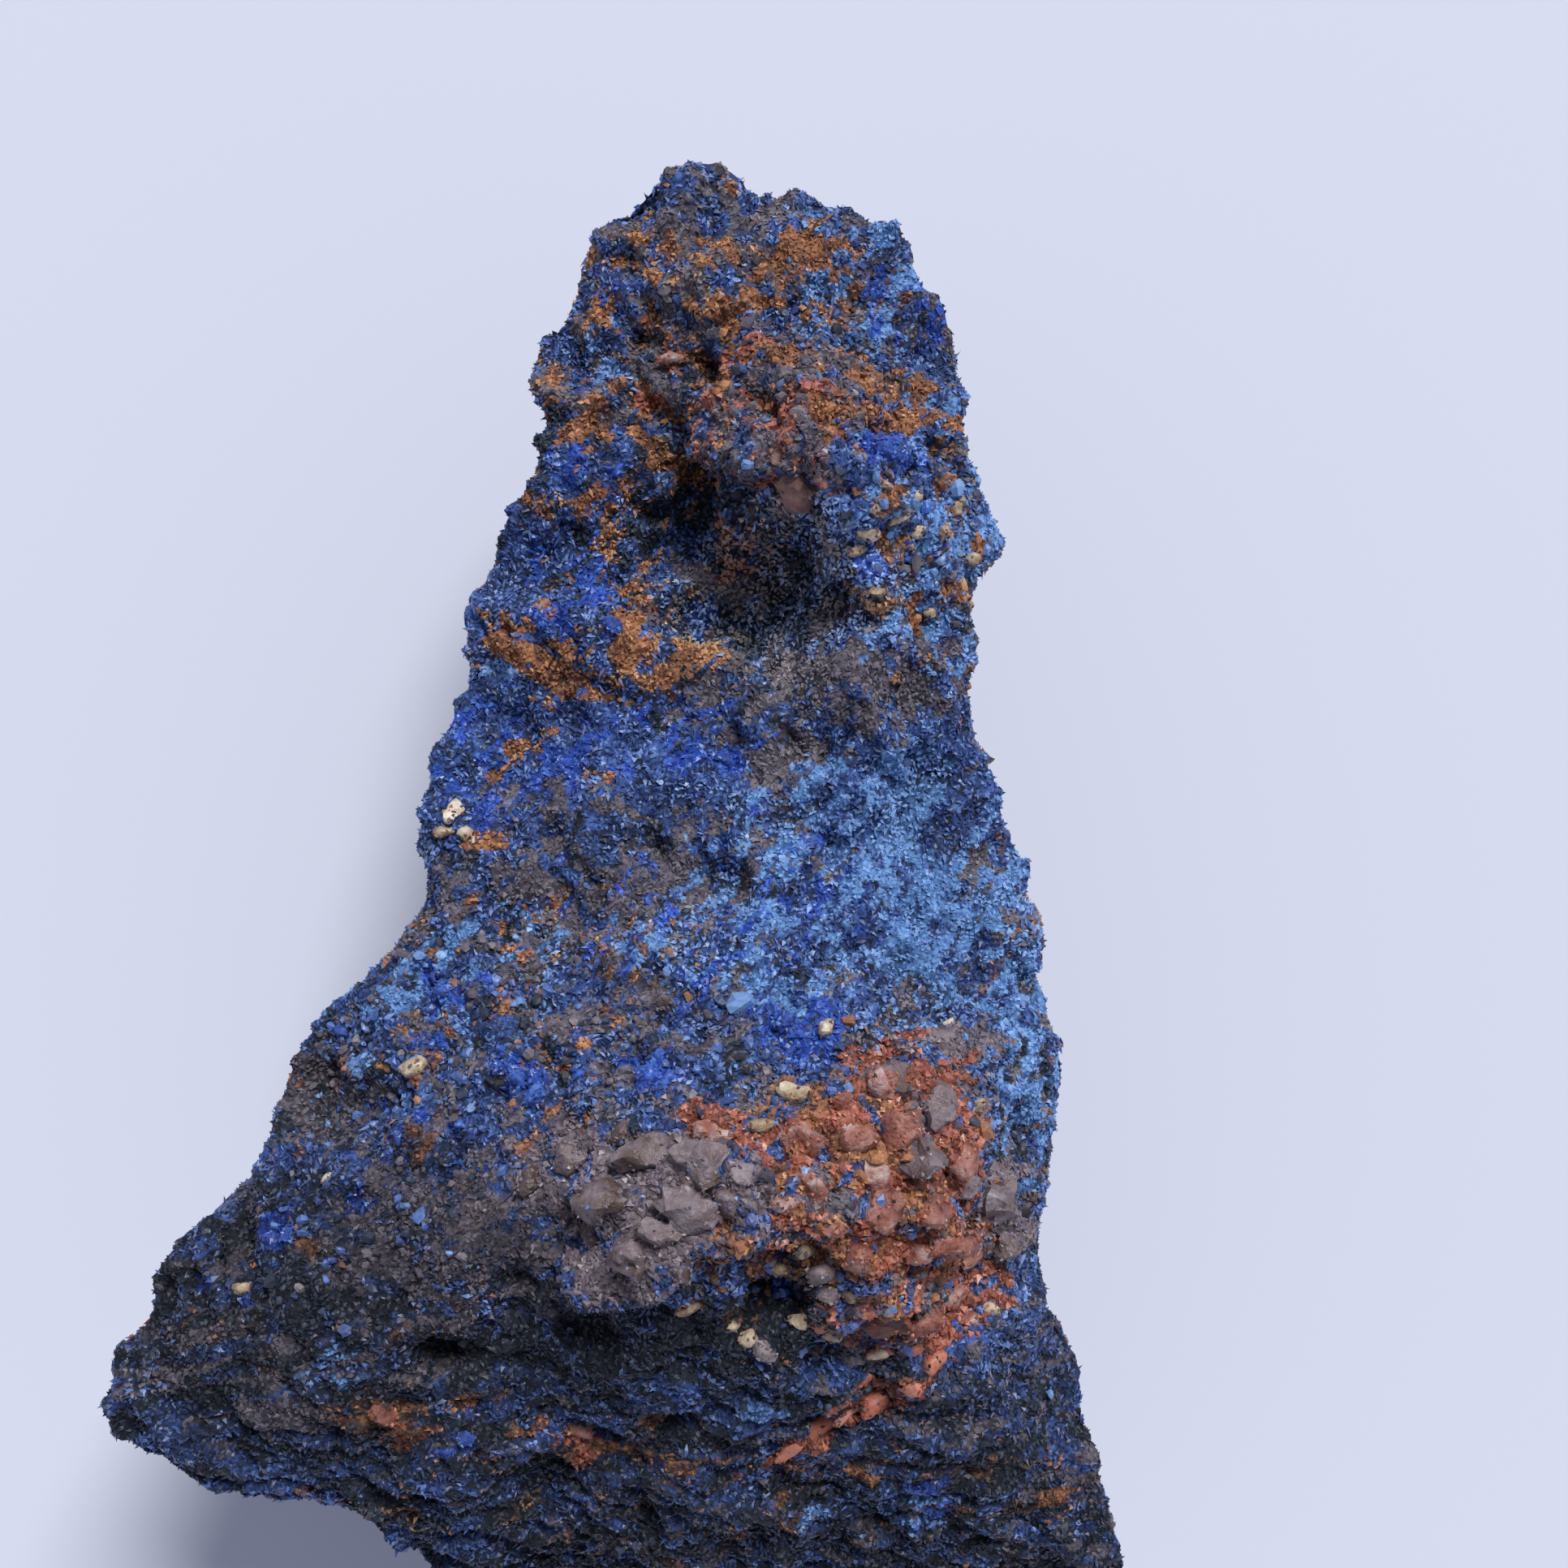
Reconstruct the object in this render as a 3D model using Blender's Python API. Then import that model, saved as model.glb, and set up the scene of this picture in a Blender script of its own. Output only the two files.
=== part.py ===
"""A tapering shard of sandstone crusted with azurite, about 33 mm long, in metres with +Z up.

The shard is one natural piece: a broken wedge of rock, narrow at its +Y end and wide at its
-Y end, where a lobe hangs out to the left. It is lofted along Y. Every section is a closed
curve in the XZ plane that is widest at the rim, swells above it and tucks in below it. Flat
fractures then cut its flanks and its underside, and the lowest of them, at Z = 0, is the flat
patch on which the shard rests. All the tables below are in millimetres.
"""

import bmesh
import bpy
import numpy as np

MM = 0.001

# The outline seen from above: Y, the left edge and the right edge, from the tip down.
OUTLINE = (
    (16.4, 1.6, 2.0),
    (16.2, 0.8, 3.6),
    (15.9, 0.3, 4.3),
    (15.2, -0.4, 5.6),
    (14.3, -1.0, 5.9),
    (13.6, -1.1, 6.3),
    (12.6, -1.6, 6.9),
    (11.2, -1.6, 6.9),
    (10.0, -1.9, 7.3),
    (8.9, -2.5, 7.6),
    (7.9, -2.9, 7.3),
    (7.2, -3.2, 7.2),
    (6.2, -3.2, 7.2),
    (5.0, -3.6, 7.4),
    (3.9, -3.9, 7.6),
    (2.6, -4.1, 8.0),
    (1.9, -4.0, 8.4),
    (0.9, -4.4, 8.7),
    (-0.1, -5.1, 8.6),
    (-1.4, -6.4, 8.9),
    (-2.2, -6.8, 9.1),
    (-3.4, -7.0, 8.9),
    (-4.4, -7.7, 8.9),
    (-5.3, -8.9, 8.7),
    (-6.6, -9.4, 8.8),
    (-7.6, -9.9, 9.2),
    (-8.4, -10.0, 9.4),
    (-9.2, -9.8, 9.6),
    (-9.9, -9.1, 9.7),
    (-10.4, -8.0, 9.8),
    (-10.7, -6.5, 9.9),
    (-11.6, -5.0, 10.1),
    (-12.5, -4.3, 10.3),
    (-14.0, -3.4, 10.3),
    (-15.2, -1.6, 9.4),
    (-16.0, 0.8, 7.8),
    (-16.4, 3.6, 4.4),
)

# Along the shard: Y, the height of the left rim and of the right rim, and how far the section
# would reach below its rim if no fracture cut it off.
HEIGHTS = (
    (16.4, 9.3, 9.3, 1.0),
    (15.8, 9.4, 9.4, 3.4),
    (14.8, 9.4, 9.5, 6.6),
    (13.0, 9.4, 9.6, 9.8),
    (10.0, 9.5, 9.8, 12.0),
    (5.0, 9.5, 9.8, 13.0),
    (0.0, 9.6, 9.4, 13.4),
    (-4.0, 9.9, 9.2, 13.6),
    (-8.0, 10.6, 9.2, 13.6),
    (-11.0, 9.8, 8.9, 13.0),
    (-13.5, 7.9, 7.9, 11.0),
    (-15.4, 6.4, 6.6, 6.4),
    (-16.4, 5.6, 5.6, 1.0),
)

# The relief of the upper face: X, Y, reach in X, reach towards +Y, reach towards -Y, height.
RELIEF = {
    "tip": (2.6, 13.8, 2.4, 1.6, 2.4, 0.7),
    "knob": (4.3, 10.2, 2.3, 2.2, 2.6, 2.6),
    "knob foot": (6.0, 8.0, 1.5, 1.6, 1.8, 1.2),
    "shadowed hollow": (2.8, 8.0, 1.7, 1.6, 1.6, -1.3),
    "pit": (1.2, 9.3, 1.1, 1.0, 1.0, -0.7),
    "saddle": (5.2, 5.2, 2.6, 2.0, 2.4, 1.4),
    "swell": (4.2, -4.0, 5.2, 5.0, 4.6, 4.6),
    "left grain mound": (0.8, -4.4, 2.0, 1.5, 1.6, 1.3),
    "right grain mound": (5.6, -3.0, 1.9, 1.8, 2.4, 0.9),
    "gap between the mounds": (3.2, -5.4, 0.9, 1.0, 1.2, -0.7),
    "bridge": (-3.0, -5.4, 3.2, 2.8, 3.0, 2.2),
    "lobe": (-6.6, -6.9, 2.6, 2.2, 2.6, 1.7),
    "front shoulder": (7.4, -8.6, 2.2, 2.6, 3.2, 1.6),
}

# Flat fractures: the way each one faces in X, Y and Z, and its distance from the middle of the
# shard at (0, 0, 5). Rock that stands further out is cut back by the share in the last column.
FRACTURES = {
    "front face": (0.03, -0.66, 0.75, 11.2, 0.80),
    "right upper flank": (0.89, 0.12, 0.44, 9.9, 0.70),
    "tip face": (0.05, 0.44, 0.90, 11.2, 0.60),
    "right flank": (0.88, 0.10, -0.46, 8.3, 0.75),
    "right heel": (0.62, -0.62, -0.48, 13.8, 0.60),
    "right tip flank": (0.80, 0.42, -0.42, 9.6, 0.75),
    "left flank": (-0.86, 0.34, -0.38, 5.6, 0.60),
    "left keel": (-0.52, 0.20, -0.83, 4.6, 0.85),
    "under the lobe": (-0.72, -0.34, -0.60, 8.9, 0.85),
    "front underside": (0.05, -0.70, -0.72, 13.0, 0.75),
    "tip underside": (-0.10, 0.72, -0.68, 12.4, 0.85),
    "right keel": (0.50, 0.05, -0.86, 6.3, 0.85),
}
MIDDLE = (0.0, 0.0, 5.0)

NOTCH = (2.9, 16.3, 0.55, 0.55)  # X and Y of the gap between two points of the tip, reach, depth
NOTCH_BACK = 2.0                 # how far the notch reaches back from the tip
LUG = (-1.7, 12.1, 0.7, 0.20)    # X and Y of the lug on the left edge, reach, how far it stands out

EDGE_ROUND = 0.9       # exponent of the upper edge: smaller is a squarer shoulder
CROWN = 0.35           # least rise of the upper face above the rim
HULL_WIDE = 2.3        # exponent that keeps the flanks steep before they tuck in
HULL_DEEP = 0.70       # exponent that rounds the underside
FADE_HEIGHT = 2.0      # unevenness fades out over this height above the flat patch

# Broken-rock unevenness: wavelength, size of the nudge, how much of its sideways part the rim
# and the upper face take, and seed.
LUMPS = ((7.0, 0.50, 0.0, 11), (3.2, 0.24, 0.15, 12), (1.7, 0.10, 0.8, 13))
WAVES = 24
RIM_FADE = (8.6, 5.6)  # heights between which the sideways part grows to its full size

RINGS = 66
AROUND = 66
SAMPLES = 600          # steps on the rulers that space the rings and the points around them
UNDERSIDE_SHARE = 0.6  # the underside gets this share of the points that its length would give it

AZURITE = (0.020, 0.045, 0.22, 1.0)


def through(where, table, column):
    """A monotone cubic through one column of a table whose first column falls steadily."""
    rows = np.array(table)[::-1]
    knots, values = rows[:, 0], rows[:, column]
    step = np.diff(knots)
    slope = np.diff(values) / step
    before, after = slope[:-1], slope[1:]
    same_way = before * after > 0
    total = np.where(same_way, before + after, 1.0)
    tangent = np.zeros_like(values)
    tangent[1:-1] = np.where(same_way, 2.0 * before * after / total, 0.0)
    tangent[0], tangent[-1] = slope[0], slope[-1]
    i = np.clip(np.searchsorted(knots, where) - 1, 0, len(step) - 1)
    t = np.clip((where - knots[i]) / step[i], 0.0, 1.0)
    start = values[i] * (1 + 2 * t) * (1 - t) ** 2 + tangent[i] * step[i] * t * (1 - t) ** 2
    end = values[i + 1] * t * t * (3 - 2 * t) + tangent[i + 1] * step[i] * t * t * (t - 1)
    return start + end


def waves(points, length, seed):
    """A smooth random field, about -1 to 1: cosine waves of one length in many directions."""
    rng = np.random.default_rng(seed)
    directions = rng.normal(size=(WAVES, 3))
    directions /= np.linalg.norm(directions, axis=1, keepdims=True)
    lengths = rng.uniform(0.75, 1.35, WAVES) * length
    phases = rng.uniform(0.0, 2.0 * np.pi, WAVES)
    angle = points @ (2.0 * np.pi * directions / lengths[:, None]).T + phases
    return np.cos(angle).sum(-1) / np.sqrt(2.0 * WAVES)


def relief(x, y):
    """Height of the upper face above the rim: every mound is a bell with its own reaches."""
    height = np.full_like(x, CROWN)
    for mound_x, mound_y, across, up, down, rise in RELIEF.values():
        along = np.where(y > mound_y, up, down)
        height += rise * np.exp(-((x - mound_x) / across) ** 2 - ((y - mound_y) / along) ** 2)
    return height


def section(y, angle):
    """Points of the sections at y: half-turns of the angle over the top and under the hull."""
    left, right = through(y, OUTLINE, 1), through(y, OUTLINE, 2)
    side, lift = np.cos(angle), np.sin(angle)
    x = (left + right) / 2 + (right - left) / 2 * side
    share = (1 + side) / 2
    rim = through(y, HEIGHTS, 1) * (1 - share) + through(y, HEIGHTS, 2) * share
    taper = np.clip((right - left) / 6.0, 0.0, 1.0)
    above = relief(x, y) * taper * np.abs(lift) ** EDGE_ROUND
    below = through(y, HEIGHTS, 3) * (1 - np.abs(side) ** HULL_WIDE) ** HULL_DEEP
    return np.stack([x, y, rim + np.where(lift >= 0, above, -below)], axis=-1)


def ruler(points, weight):
    """How far along a line each of its points lies, from 0 to 1, with every step weighted."""
    step = np.linalg.norm(np.diff(points, axis=-2), axis=-1) * weight
    length = np.concatenate([np.zeros_like(step[..., :1]), np.cumsum(step, axis=-1)], axis=-1)
    return length / length[..., -1:]


def evened(rings, around):
    """Y of every ring and the angle of every point on it, so that all steps are about equal.
    The angle starts and ends under the middle of the shard."""
    span = np.linspace(OUTLINE[0][0], OUTLINE[-1][0], SAMPLES)
    half = (through(span, OUTLINE, 2) - through(span, OUTLINE, 1)) / 2
    profile = np.stack([span, half], axis=-1)
    y = np.interp(np.linspace(0, 1, rings), ruler(profile, 1.0), span)
    turn = np.linspace(-np.pi / 2, 3 * np.pi / 2, SAMPLES)
    sheet = section(*np.meshgrid(y, turn, indexing="ij"))
    weight = np.where(np.sin(turn[1:]) > 0, 1.0, UNDERSIDE_SHARE)
    lengths = ruler(sheet, weight)
    steps = np.arange(around) / around
    angle = np.stack([np.interp(steps, length, turn) for length in lengths])
    return np.repeat(y[:, None], around, axis=1), angle


def body(rings, around):
    """Points of the shard in mm: the sections, then the notch, the lug, the fractures and the
    unevenness of broken rock, and last the flat patch."""
    points = section(*evened(rings, around))
    x, y = points[..., 0], points[..., 1]
    behind = np.clip(1 - (NOTCH[1] - y) / NOTCH_BACK, 0, 1) ** 2
    y_push = -NOTCH[3] * behind * np.exp(-(((x - NOTCH[0]) / NOTCH[2]) ** 2))
    near = np.exp(-((x - LUG[0]) ** 2 + (y - LUG[1]) ** 2) / LUG[2] ** 2)
    points = points + np.stack([-LUG[3] * near, y_push, np.zeros_like(x)], axis=-1)
    for *facing, distance, share in FRACTURES.values():
        facing = np.array(facing) / np.linalg.norm(facing)
        beyond = np.maximum((points - MIDDLE) @ facing - distance, 0.0)
        points = points - share * beyond[..., None] * facing
    height = points[..., 2]
    fade = np.clip(height / FADE_HEIGHT, 0.0, 1.0)
    under = np.clip((RIM_FADE[0] - height) / (RIM_FADE[0] - RIM_FADE[1]), 0.0, 1.0)
    nudge = np.zeros_like(points)
    for length, size, at_rim, seed in LUMPS:
        sideways = at_rim + (1 - at_rim) * under
        for axis, share in enumerate((sideways, sideways, 1.0)):
            nudge[..., axis] += size * share * waves(points, length, seed + 100 * axis)
    points = points + nudge * fade[..., None]
    points[..., 2] = np.maximum(points[..., 2], 0.0)
    return points


def shard_mesh():
    """The loft: rings of points along Y, skinned with quads and closed with a fan at each end."""
    points = body(RINGS + 2, AROUND)
    low, high = points.min(axis=(0, 1)), points.max(axis=(0, 1))
    points = (points - ((low[0] + high[0]) / 2, (low[1] + high[1]) / 2, low[2])) * MM
    loft = bmesh.new()
    rings = [[loft.verts.new(point) for point in ring] for ring in points[1:-1]]
    tip, butt = loft.verts.new(points[0].mean(axis=0)), loft.verts.new(points[-1].mean(axis=0))
    for ring, after in zip(rings, rings[1:]):
        for i in range(AROUND):
            j = (i + 1) % AROUND
            loft.faces.new((ring[i], after[i], after[j], ring[j]))
    for i in range(AROUND):
        j = (i + 1) % AROUND
        loft.faces.new((tip, rings[0][i], rings[0][j]))
        loft.faces.new((butt, rings[-1][j], rings[-1][i]))
    bmesh.ops.recalc_face_normals(loft, faces=loft.faces)
    mesh = bpy.data.meshes.new("azurite_rock")
    loft.to_mesh(mesh)
    loft.free()
    mesh.shade_smooth()
    return mesh


def azurite_material():
    """Velvety crust of azurite grains: deep blue, rough, not a metal."""
    material = bpy.data.materials.new("azurite_crust")
    material.use_nodes = True
    shader = material.node_tree.nodes["Principled BSDF"]
    shader.inputs["Base Color"].default_value = AZURITE
    shader.inputs["Roughness"].default_value = 0.75
    shader.inputs["Metallic"].default_value = 0.0
    return material


def main():
    for old in list(bpy.data.objects):
        bpy.data.objects.remove(old, do_unlink=True)
    specimen = bpy.data.collections.new("azurite_specimen")
    bpy.context.scene.collection.children.link(specimen)
    rock = bpy.data.objects.new("azurite_rock", shard_mesh())
    rock.data.materials.append(azurite_material())
    specimen.objects.link(rock)


main()
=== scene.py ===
# %% [markdown]
# # Azurite on a shard of sandstone
#
# The specimen is one broken wedge of sandstone, 33 mm long, which blue azurite has grown over
# as a velvet of crystals a tenth of a millimetre across. Rust-coloured limonite, brown silt and
# grains of quartz show through it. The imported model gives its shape; this file gives its
# surface: a fine skin, then joined meshes of the crystals and grains that sit on it.

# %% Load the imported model
import itertools

import bpy
import numpy as np
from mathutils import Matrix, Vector


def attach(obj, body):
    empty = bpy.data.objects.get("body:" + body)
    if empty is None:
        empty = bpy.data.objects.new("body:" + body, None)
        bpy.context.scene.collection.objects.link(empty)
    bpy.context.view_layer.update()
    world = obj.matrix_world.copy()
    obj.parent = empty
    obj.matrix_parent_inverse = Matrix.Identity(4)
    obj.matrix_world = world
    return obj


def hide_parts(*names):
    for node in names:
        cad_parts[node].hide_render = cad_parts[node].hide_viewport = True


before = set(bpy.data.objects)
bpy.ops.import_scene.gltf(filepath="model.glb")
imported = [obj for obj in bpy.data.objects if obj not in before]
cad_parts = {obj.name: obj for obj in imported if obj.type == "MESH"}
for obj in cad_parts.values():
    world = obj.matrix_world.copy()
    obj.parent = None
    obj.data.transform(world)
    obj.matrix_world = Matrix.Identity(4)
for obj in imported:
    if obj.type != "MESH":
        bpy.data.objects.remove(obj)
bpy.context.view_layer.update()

MM = 0.001  # metres in a millimetre

# %% [markdown]
# ## Camera
#
# The camera hangs straight above the specimen, five centimetres from the board, as a macro lens
# does. A longer lens could frame the same view from further off, but so near, the high parts
# look clearly bigger than the low ones, and only the true distance gives that. Depth of field
# stays off, so that the whole stone is sharp.

# %% Camera
CAMERA_AT = (3.18, 3.77, 49.5)  # mm, straight above the upper half of the shard
SENSOR = 36.0                   # mm across the sensor
PICTURE = 1932                  # pixels along a side of the picture
FOCAL_PIXELS = 2400             # distance of the lens in those pixels
camera_data = bpy.data.cameras.new("macro_camera")
camera_data.sensor_width = SENSOR
camera_data.lens = SENSOR * FOCAL_PIXELS / PICTURE
camera_data.clip_start = 1 * MM
camera = bpy.data.objects.new("macro_camera", camera_data)
camera.location = Vector(CAMERA_AT) * MM
bpy.context.scene.collection.objects.link(camera)
bpy.context.scene.camera = camera
print("lens", round(camera_data.lens, 1), "mm")

# %% [markdown]
# ## Colours and nodes
#
# Colours are picked as sRGB hex values, but shaders work in linear light, so one function turns
# them. A second small function adds any node: its own settings are named, and each input gets a
# number or a link.


# %% Colours and nodes
def linear(colour):
    """The linear RGBA of an sRGB hex colour: the power curve, and a straight foot near black."""
    value = np.array([int(colour[i : i + 2], 16) for i in (1, 3, 5)]) / 255
    light = np.where(value > 0.04045, ((value + 0.055) / 1.055) ** 2.4, value / 12.92)
    return (*light.tolist(), 1.0)


def add(tree, kind, inputs, stops=(), **settings):
    """Adds a node. Inputs take a number or another node's output, and stops fill a colour ramp."""
    made = tree.nodes.new(kind)
    for name, value in settings.items():
        setattr(made, name, value)
    for name, value in inputs.items():
        if isinstance(value, bpy.types.NodeSocket):
            tree.links.new(value, made.inputs[name])
        else:
            made.inputs[name].default_value = value
    for place, colour in stops:
        used = place in (stops[0][0], stops[-1][0])
        stop = made.color_ramp.elements[0 if place == stops[0][0] else -1] if used else None
        stop = stop or made.color_ramp.elements.new(place)
        stop.position, stop.color = place, linear(colour)
    return made


def fresh_material(name):
    """A new material with only its Principled shader, and the tree to add nodes to."""
    material = bpy.data.materials.new(name)
    material.use_nodes = True
    tree = material.node_tree
    return material, tree, tree.nodes["Principled BSDF"]


# %% [markdown]
# ## Floor and light
#
# The shard lies on a plain pale lavender board. A wide window to the upper right gives the
# shading and the soft shadow to the lower left, and a tent of the same pale colour fills the
# rest. The window could be an area lamp, but close by it would leave the far floor dark, so it
# is a sun with a broad disc. The standard view transform keeps the hues of the minerals as they
# are set.

# %% Floor and light
FLOOR_REACH = 6000.0       # mm from the middle to each edge
BOARD = "#e3e6f4"
SKY = "#dfe4fb"
SKY_OVERHEAD = 0.22        # strength of the sky's light straight above
SKY_AT_HORIZON = 0.95      # bright, like the sides of a light tent
SKY_FALLS_UNTIL = 0.75     # sine of the height above the horizon where the fall ends
KEY_FROM = (160.0, 365.0, 450.0)  # only the direction counts
KEY_WIDTH = 21.0           # degrees that the lit window spans: wider gives softer shadows
KEY_STRENGTH = 2.75        # W/m2

corners = np.array([(-1, -1, 0), (1, -1, 0), (1, 1, 0), (-1, 1, 0)]) * FLOOR_REACH * MM
floor_mesh = bpy.data.meshes.new("floor")
floor_mesh.from_pydata(corners.tolist(), [], [(0, 1, 2, 3)])
floor = bpy.data.objects.new("floor", floor_mesh)
bpy.context.scene.collection.objects.link(floor)
board, tree, shader = fresh_material("matt_card")
shader.inputs["Base Color"].default_value = linear(BOARD)
shader.inputs["Roughness"].default_value = 0.9
shader.inputs["Specular IOR Level"].default_value = 0.2
floor_mesh.materials.append(board)

key_data = bpy.data.lights.new("window", "SUN")
key_data.angle = np.radians(KEY_WIDTH)
key_data.energy = KEY_STRENGTH
key = bpy.data.objects.new("window", key_data)
key.rotation_euler = Vector(KEY_FROM).to_track_quat("Z", "Y").to_euler()
bpy.context.scene.collection.objects.link(key)
sky = bpy.data.worlds.new("sky")
sky.use_nodes = True
background = sky.node_tree.nodes["Background"]
background.inputs["Color"].default_value = linear(SKY)
way = add(sky.node_tree, "ShaderNodeTexCoord", {}).outputs["Generated"]
rise = add(sky.node_tree, "ShaderNodeSeparateXYZ", {"Vector": way}).outputs["Z"]
fall = {
    "Value": rise, "From Min": 0.0, "From Max": SKY_FALLS_UNTIL,
    "To Min": SKY_AT_HORIZON, "To Max": SKY_OVERHEAD,
}
strength = add(sky.node_tree, "ShaderNodeMapRange", fall, interpolation_type="SMOOTHSTEP")
sky.node_tree.links.new(strength.outputs["Result"], background.inputs["Strength"])
bpy.context.scene.world = sky
bpy.context.scene.view_settings.view_transform = "Standard"
print("floor", 2 * FLOOR_REACH * MM, "m across, window", KEY_WIDTH, "degrees wide")

# %% [markdown]
# ## The shape of the shard
#
# The stone could be sculpted by hand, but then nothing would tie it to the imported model. It is a
# loft instead: cross sections along Y whose width, height and depth come from tables, with bells
# added on top for the mounds and flat fractures cut from the flanks. The same tables and the
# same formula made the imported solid, so a finer grid of them lies on its surface everywhere.
# All the numbers are in millimetres.

# %% Tables of the shape
# The outline seen from above: Y, the left edge and the right edge, from the tip down.
OUTLINE = (
    (16.4, 1.6, 2), (16.2, 0.8, 3.6), (15.9, 0.3, 4.3), (15.2, -0.4, 5.6), (14.3, -1, 5.9),
    (13.6, -1.1, 6.3), (12.6, -1.6, 6.9), (11.2, -1.6, 6.9), (10, -1.9, 7.3), (8.9, -2.5, 7.6),
    (7.9, -2.9, 7.3), (7.2, -3.2, 7.2), (6.2, -3.2, 7.2), (5, -3.6, 7.4), (3.9, -3.9, 7.6),
    (2.6, -4.1, 8), (1.9, -4, 8.4), (0.9, -4.4, 8.7), (-0.1, -5.1, 8.6), (-1.4, -6.4, 8.9),
    (-2.2, -6.8, 9.1), (-3.4, -7, 8.9), (-4.4, -7.7, 8.9), (-5.3, -8.9, 8.7), (-6.6, -9.4, 8.8),
    (-7.6, -9.9, 9.2), (-8.4, -10, 9.4), (-9.2, -9.8, 9.6), (-9.9, -9.1, 9.7), (-10.4, -8, 9.8),
    (-10.7, -6.5, 9.9), (-11.6, -5, 10.1), (-12.5, -4.3, 10.3), (-14, -3.4, 10.3), (-15.2, -1.6, 9.4),
    (-16, 0.8, 7.8), (-16.4, 3.6, 4.4),
)
# Y, the height of the left rim and of the right rim, and how far the section reaches below.
HEIGHTS = (
    (16.4, 9.3, 9.3, 1), (15.8, 9.4, 9.4, 3.4), (14.8, 9.4, 9.5, 6.6), (13, 9.4, 9.6, 9.8),
    (10, 9.5, 9.8, 12), (5, 9.5, 9.8, 13), (0, 9.6, 9.4, 13.4), (-4, 9.9, 9.2, 13.6),
    (-8, 10.6, 9.2, 13.6), (-11, 9.8, 8.9, 13), (-13.5, 7.9, 7.9, 11), (-15.4, 6.4, 6.6, 6.4),
    (-16.4, 5.6, 5.6, 1),
)
# Mounds and hollows: X, Y, reach in X, reach towards +Y, reach towards -Y, height.
RELIEF = {
    "tip": (2.6, 13.8, 2.4, 1.6, 2.4, 0.7),
    "knob": (4.3, 10.2, 2.3, 2.2, 2.6, 2.6),
    "knob foot": (6.0, 8.0, 1.5, 1.6, 1.8, 1.2),
    "shadowed hollow": (2.8, 8.0, 1.7, 1.6, 1.6, -1.3),
    "pit": (1.2, 9.3, 1.1, 1.0, 1.0, -0.7),
    "saddle": (5.2, 5.2, 2.6, 2.0, 2.4, 1.4),
    "swell": (4.2, -4.0, 5.2, 5.0, 4.6, 4.6),
    "left grain mound": (0.8, -4.4, 2.0, 1.5, 1.6, 1.3),
    "right grain mound": (5.6, -3.0, 1.9, 1.8, 2.4, 0.9),
    "gap between the mounds": (3.2, -5.4, 0.9, 1.0, 1.2, -0.7),
    "bridge": (-3.0, -5.4, 3.2, 2.8, 3.0, 2.2),
    "lobe": (-6.6, -6.9, 2.6, 2.2, 2.6, 1.7),
    "front shoulder": (7.4, -8.6, 2.2, 2.6, 3.2, 1.6),
}
# Fractures: the way each faces, its distance from the middle, the share that is cut back.
FRACTURES = {
    "front face": (0.03, -0.66, 0.75, 11.2, 0.80),
    "right upper flank": (0.89, 0.12, 0.44, 9.9, 0.70),
    "tip face": (0.05, 0.44, 0.90, 11.2, 0.60),
    "right flank": (0.88, 0.10, -0.46, 8.3, 0.75),
    "right heel": (0.62, -0.62, -0.48, 13.8, 0.60),
    "right tip flank": (0.80, 0.42, -0.42, 9.6, 0.75),
    "left flank": (-0.86, 0.34, -0.38, 5.6, 0.60),
    "left keel": (-0.52, 0.20, -0.83, 4.6, 0.85),
    "under the lobe": (-0.72, -0.34, -0.60, 8.9, 0.85),
    "front underside": (0.05, -0.70, -0.72, 13.0, 0.75),
    "tip underside": (-0.10, 0.72, -0.68, 12.4, 0.85),
    "right keel": (0.50, 0.05, -0.86, 6.3, 0.85),
}
MIDDLE = (0.0, 0.0, 5.0)
NOTCH = (2.9, 16.3, 0.55, 0.55)  # X and Y of the gap between two points of the tip, reach, depth
NOTCH_BACK = 2.0                 # how far the notch reaches back from the tip
LUG = (-1.7, 12.1, 0.7, 0.20)    # X and Y of the lug on the left edge, reach, how far it stands out
EDGE_ROUND = 0.9                 # exponent of the upper edge: smaller is a squarer shoulder
CROWN = 0.35                     # least rise of the upper face above the rim
HULL_WIDE = 2.3                  # exponent that keeps the flanks steep before they tuck in
HULL_DEEP = 0.70                 # exponent that rounds the underside
FADE_HEIGHT = 2.0                # unevenness fades out over this height above the flat patch
FULL_RELIEF = 6.0                # width from which a section has its full mounds
# Unevenness: length of its waves, size, share of its sideways part that the rim takes, seed.
LUMPS = ((7.0, 0.50, 0.0, 11), (3.2, 0.24, 0.15, 12), (1.7, 0.10, 0.8, 13))
WAVES = 24                       # cosine waves in a random field
WAVE_SPREAD = (0.75, 1.35)       # the shortest and the longest, as shares of its length
RIM_FADE = (8.6, 5.6)            # heights between which sideways unevenness grows to full size
SAMPLES = 600                    # steps on the rulers that space the grid
print(len(OUTLINE), "rows of outline,", len(RELIEF), "mounds and hollows,", len(FRACTURES), "fractures")

# %% [markdown]
# ## The formula of the shape
#
# A smooth curve through each column of the tables gives every section its width and heights,
# and a section is a walk of one angle over the top and back under the hull. Straight lines
# would leave a kink at each row, and a spline can swing past the numbers, so the curve is a
# cubic that never overshoots.


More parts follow.
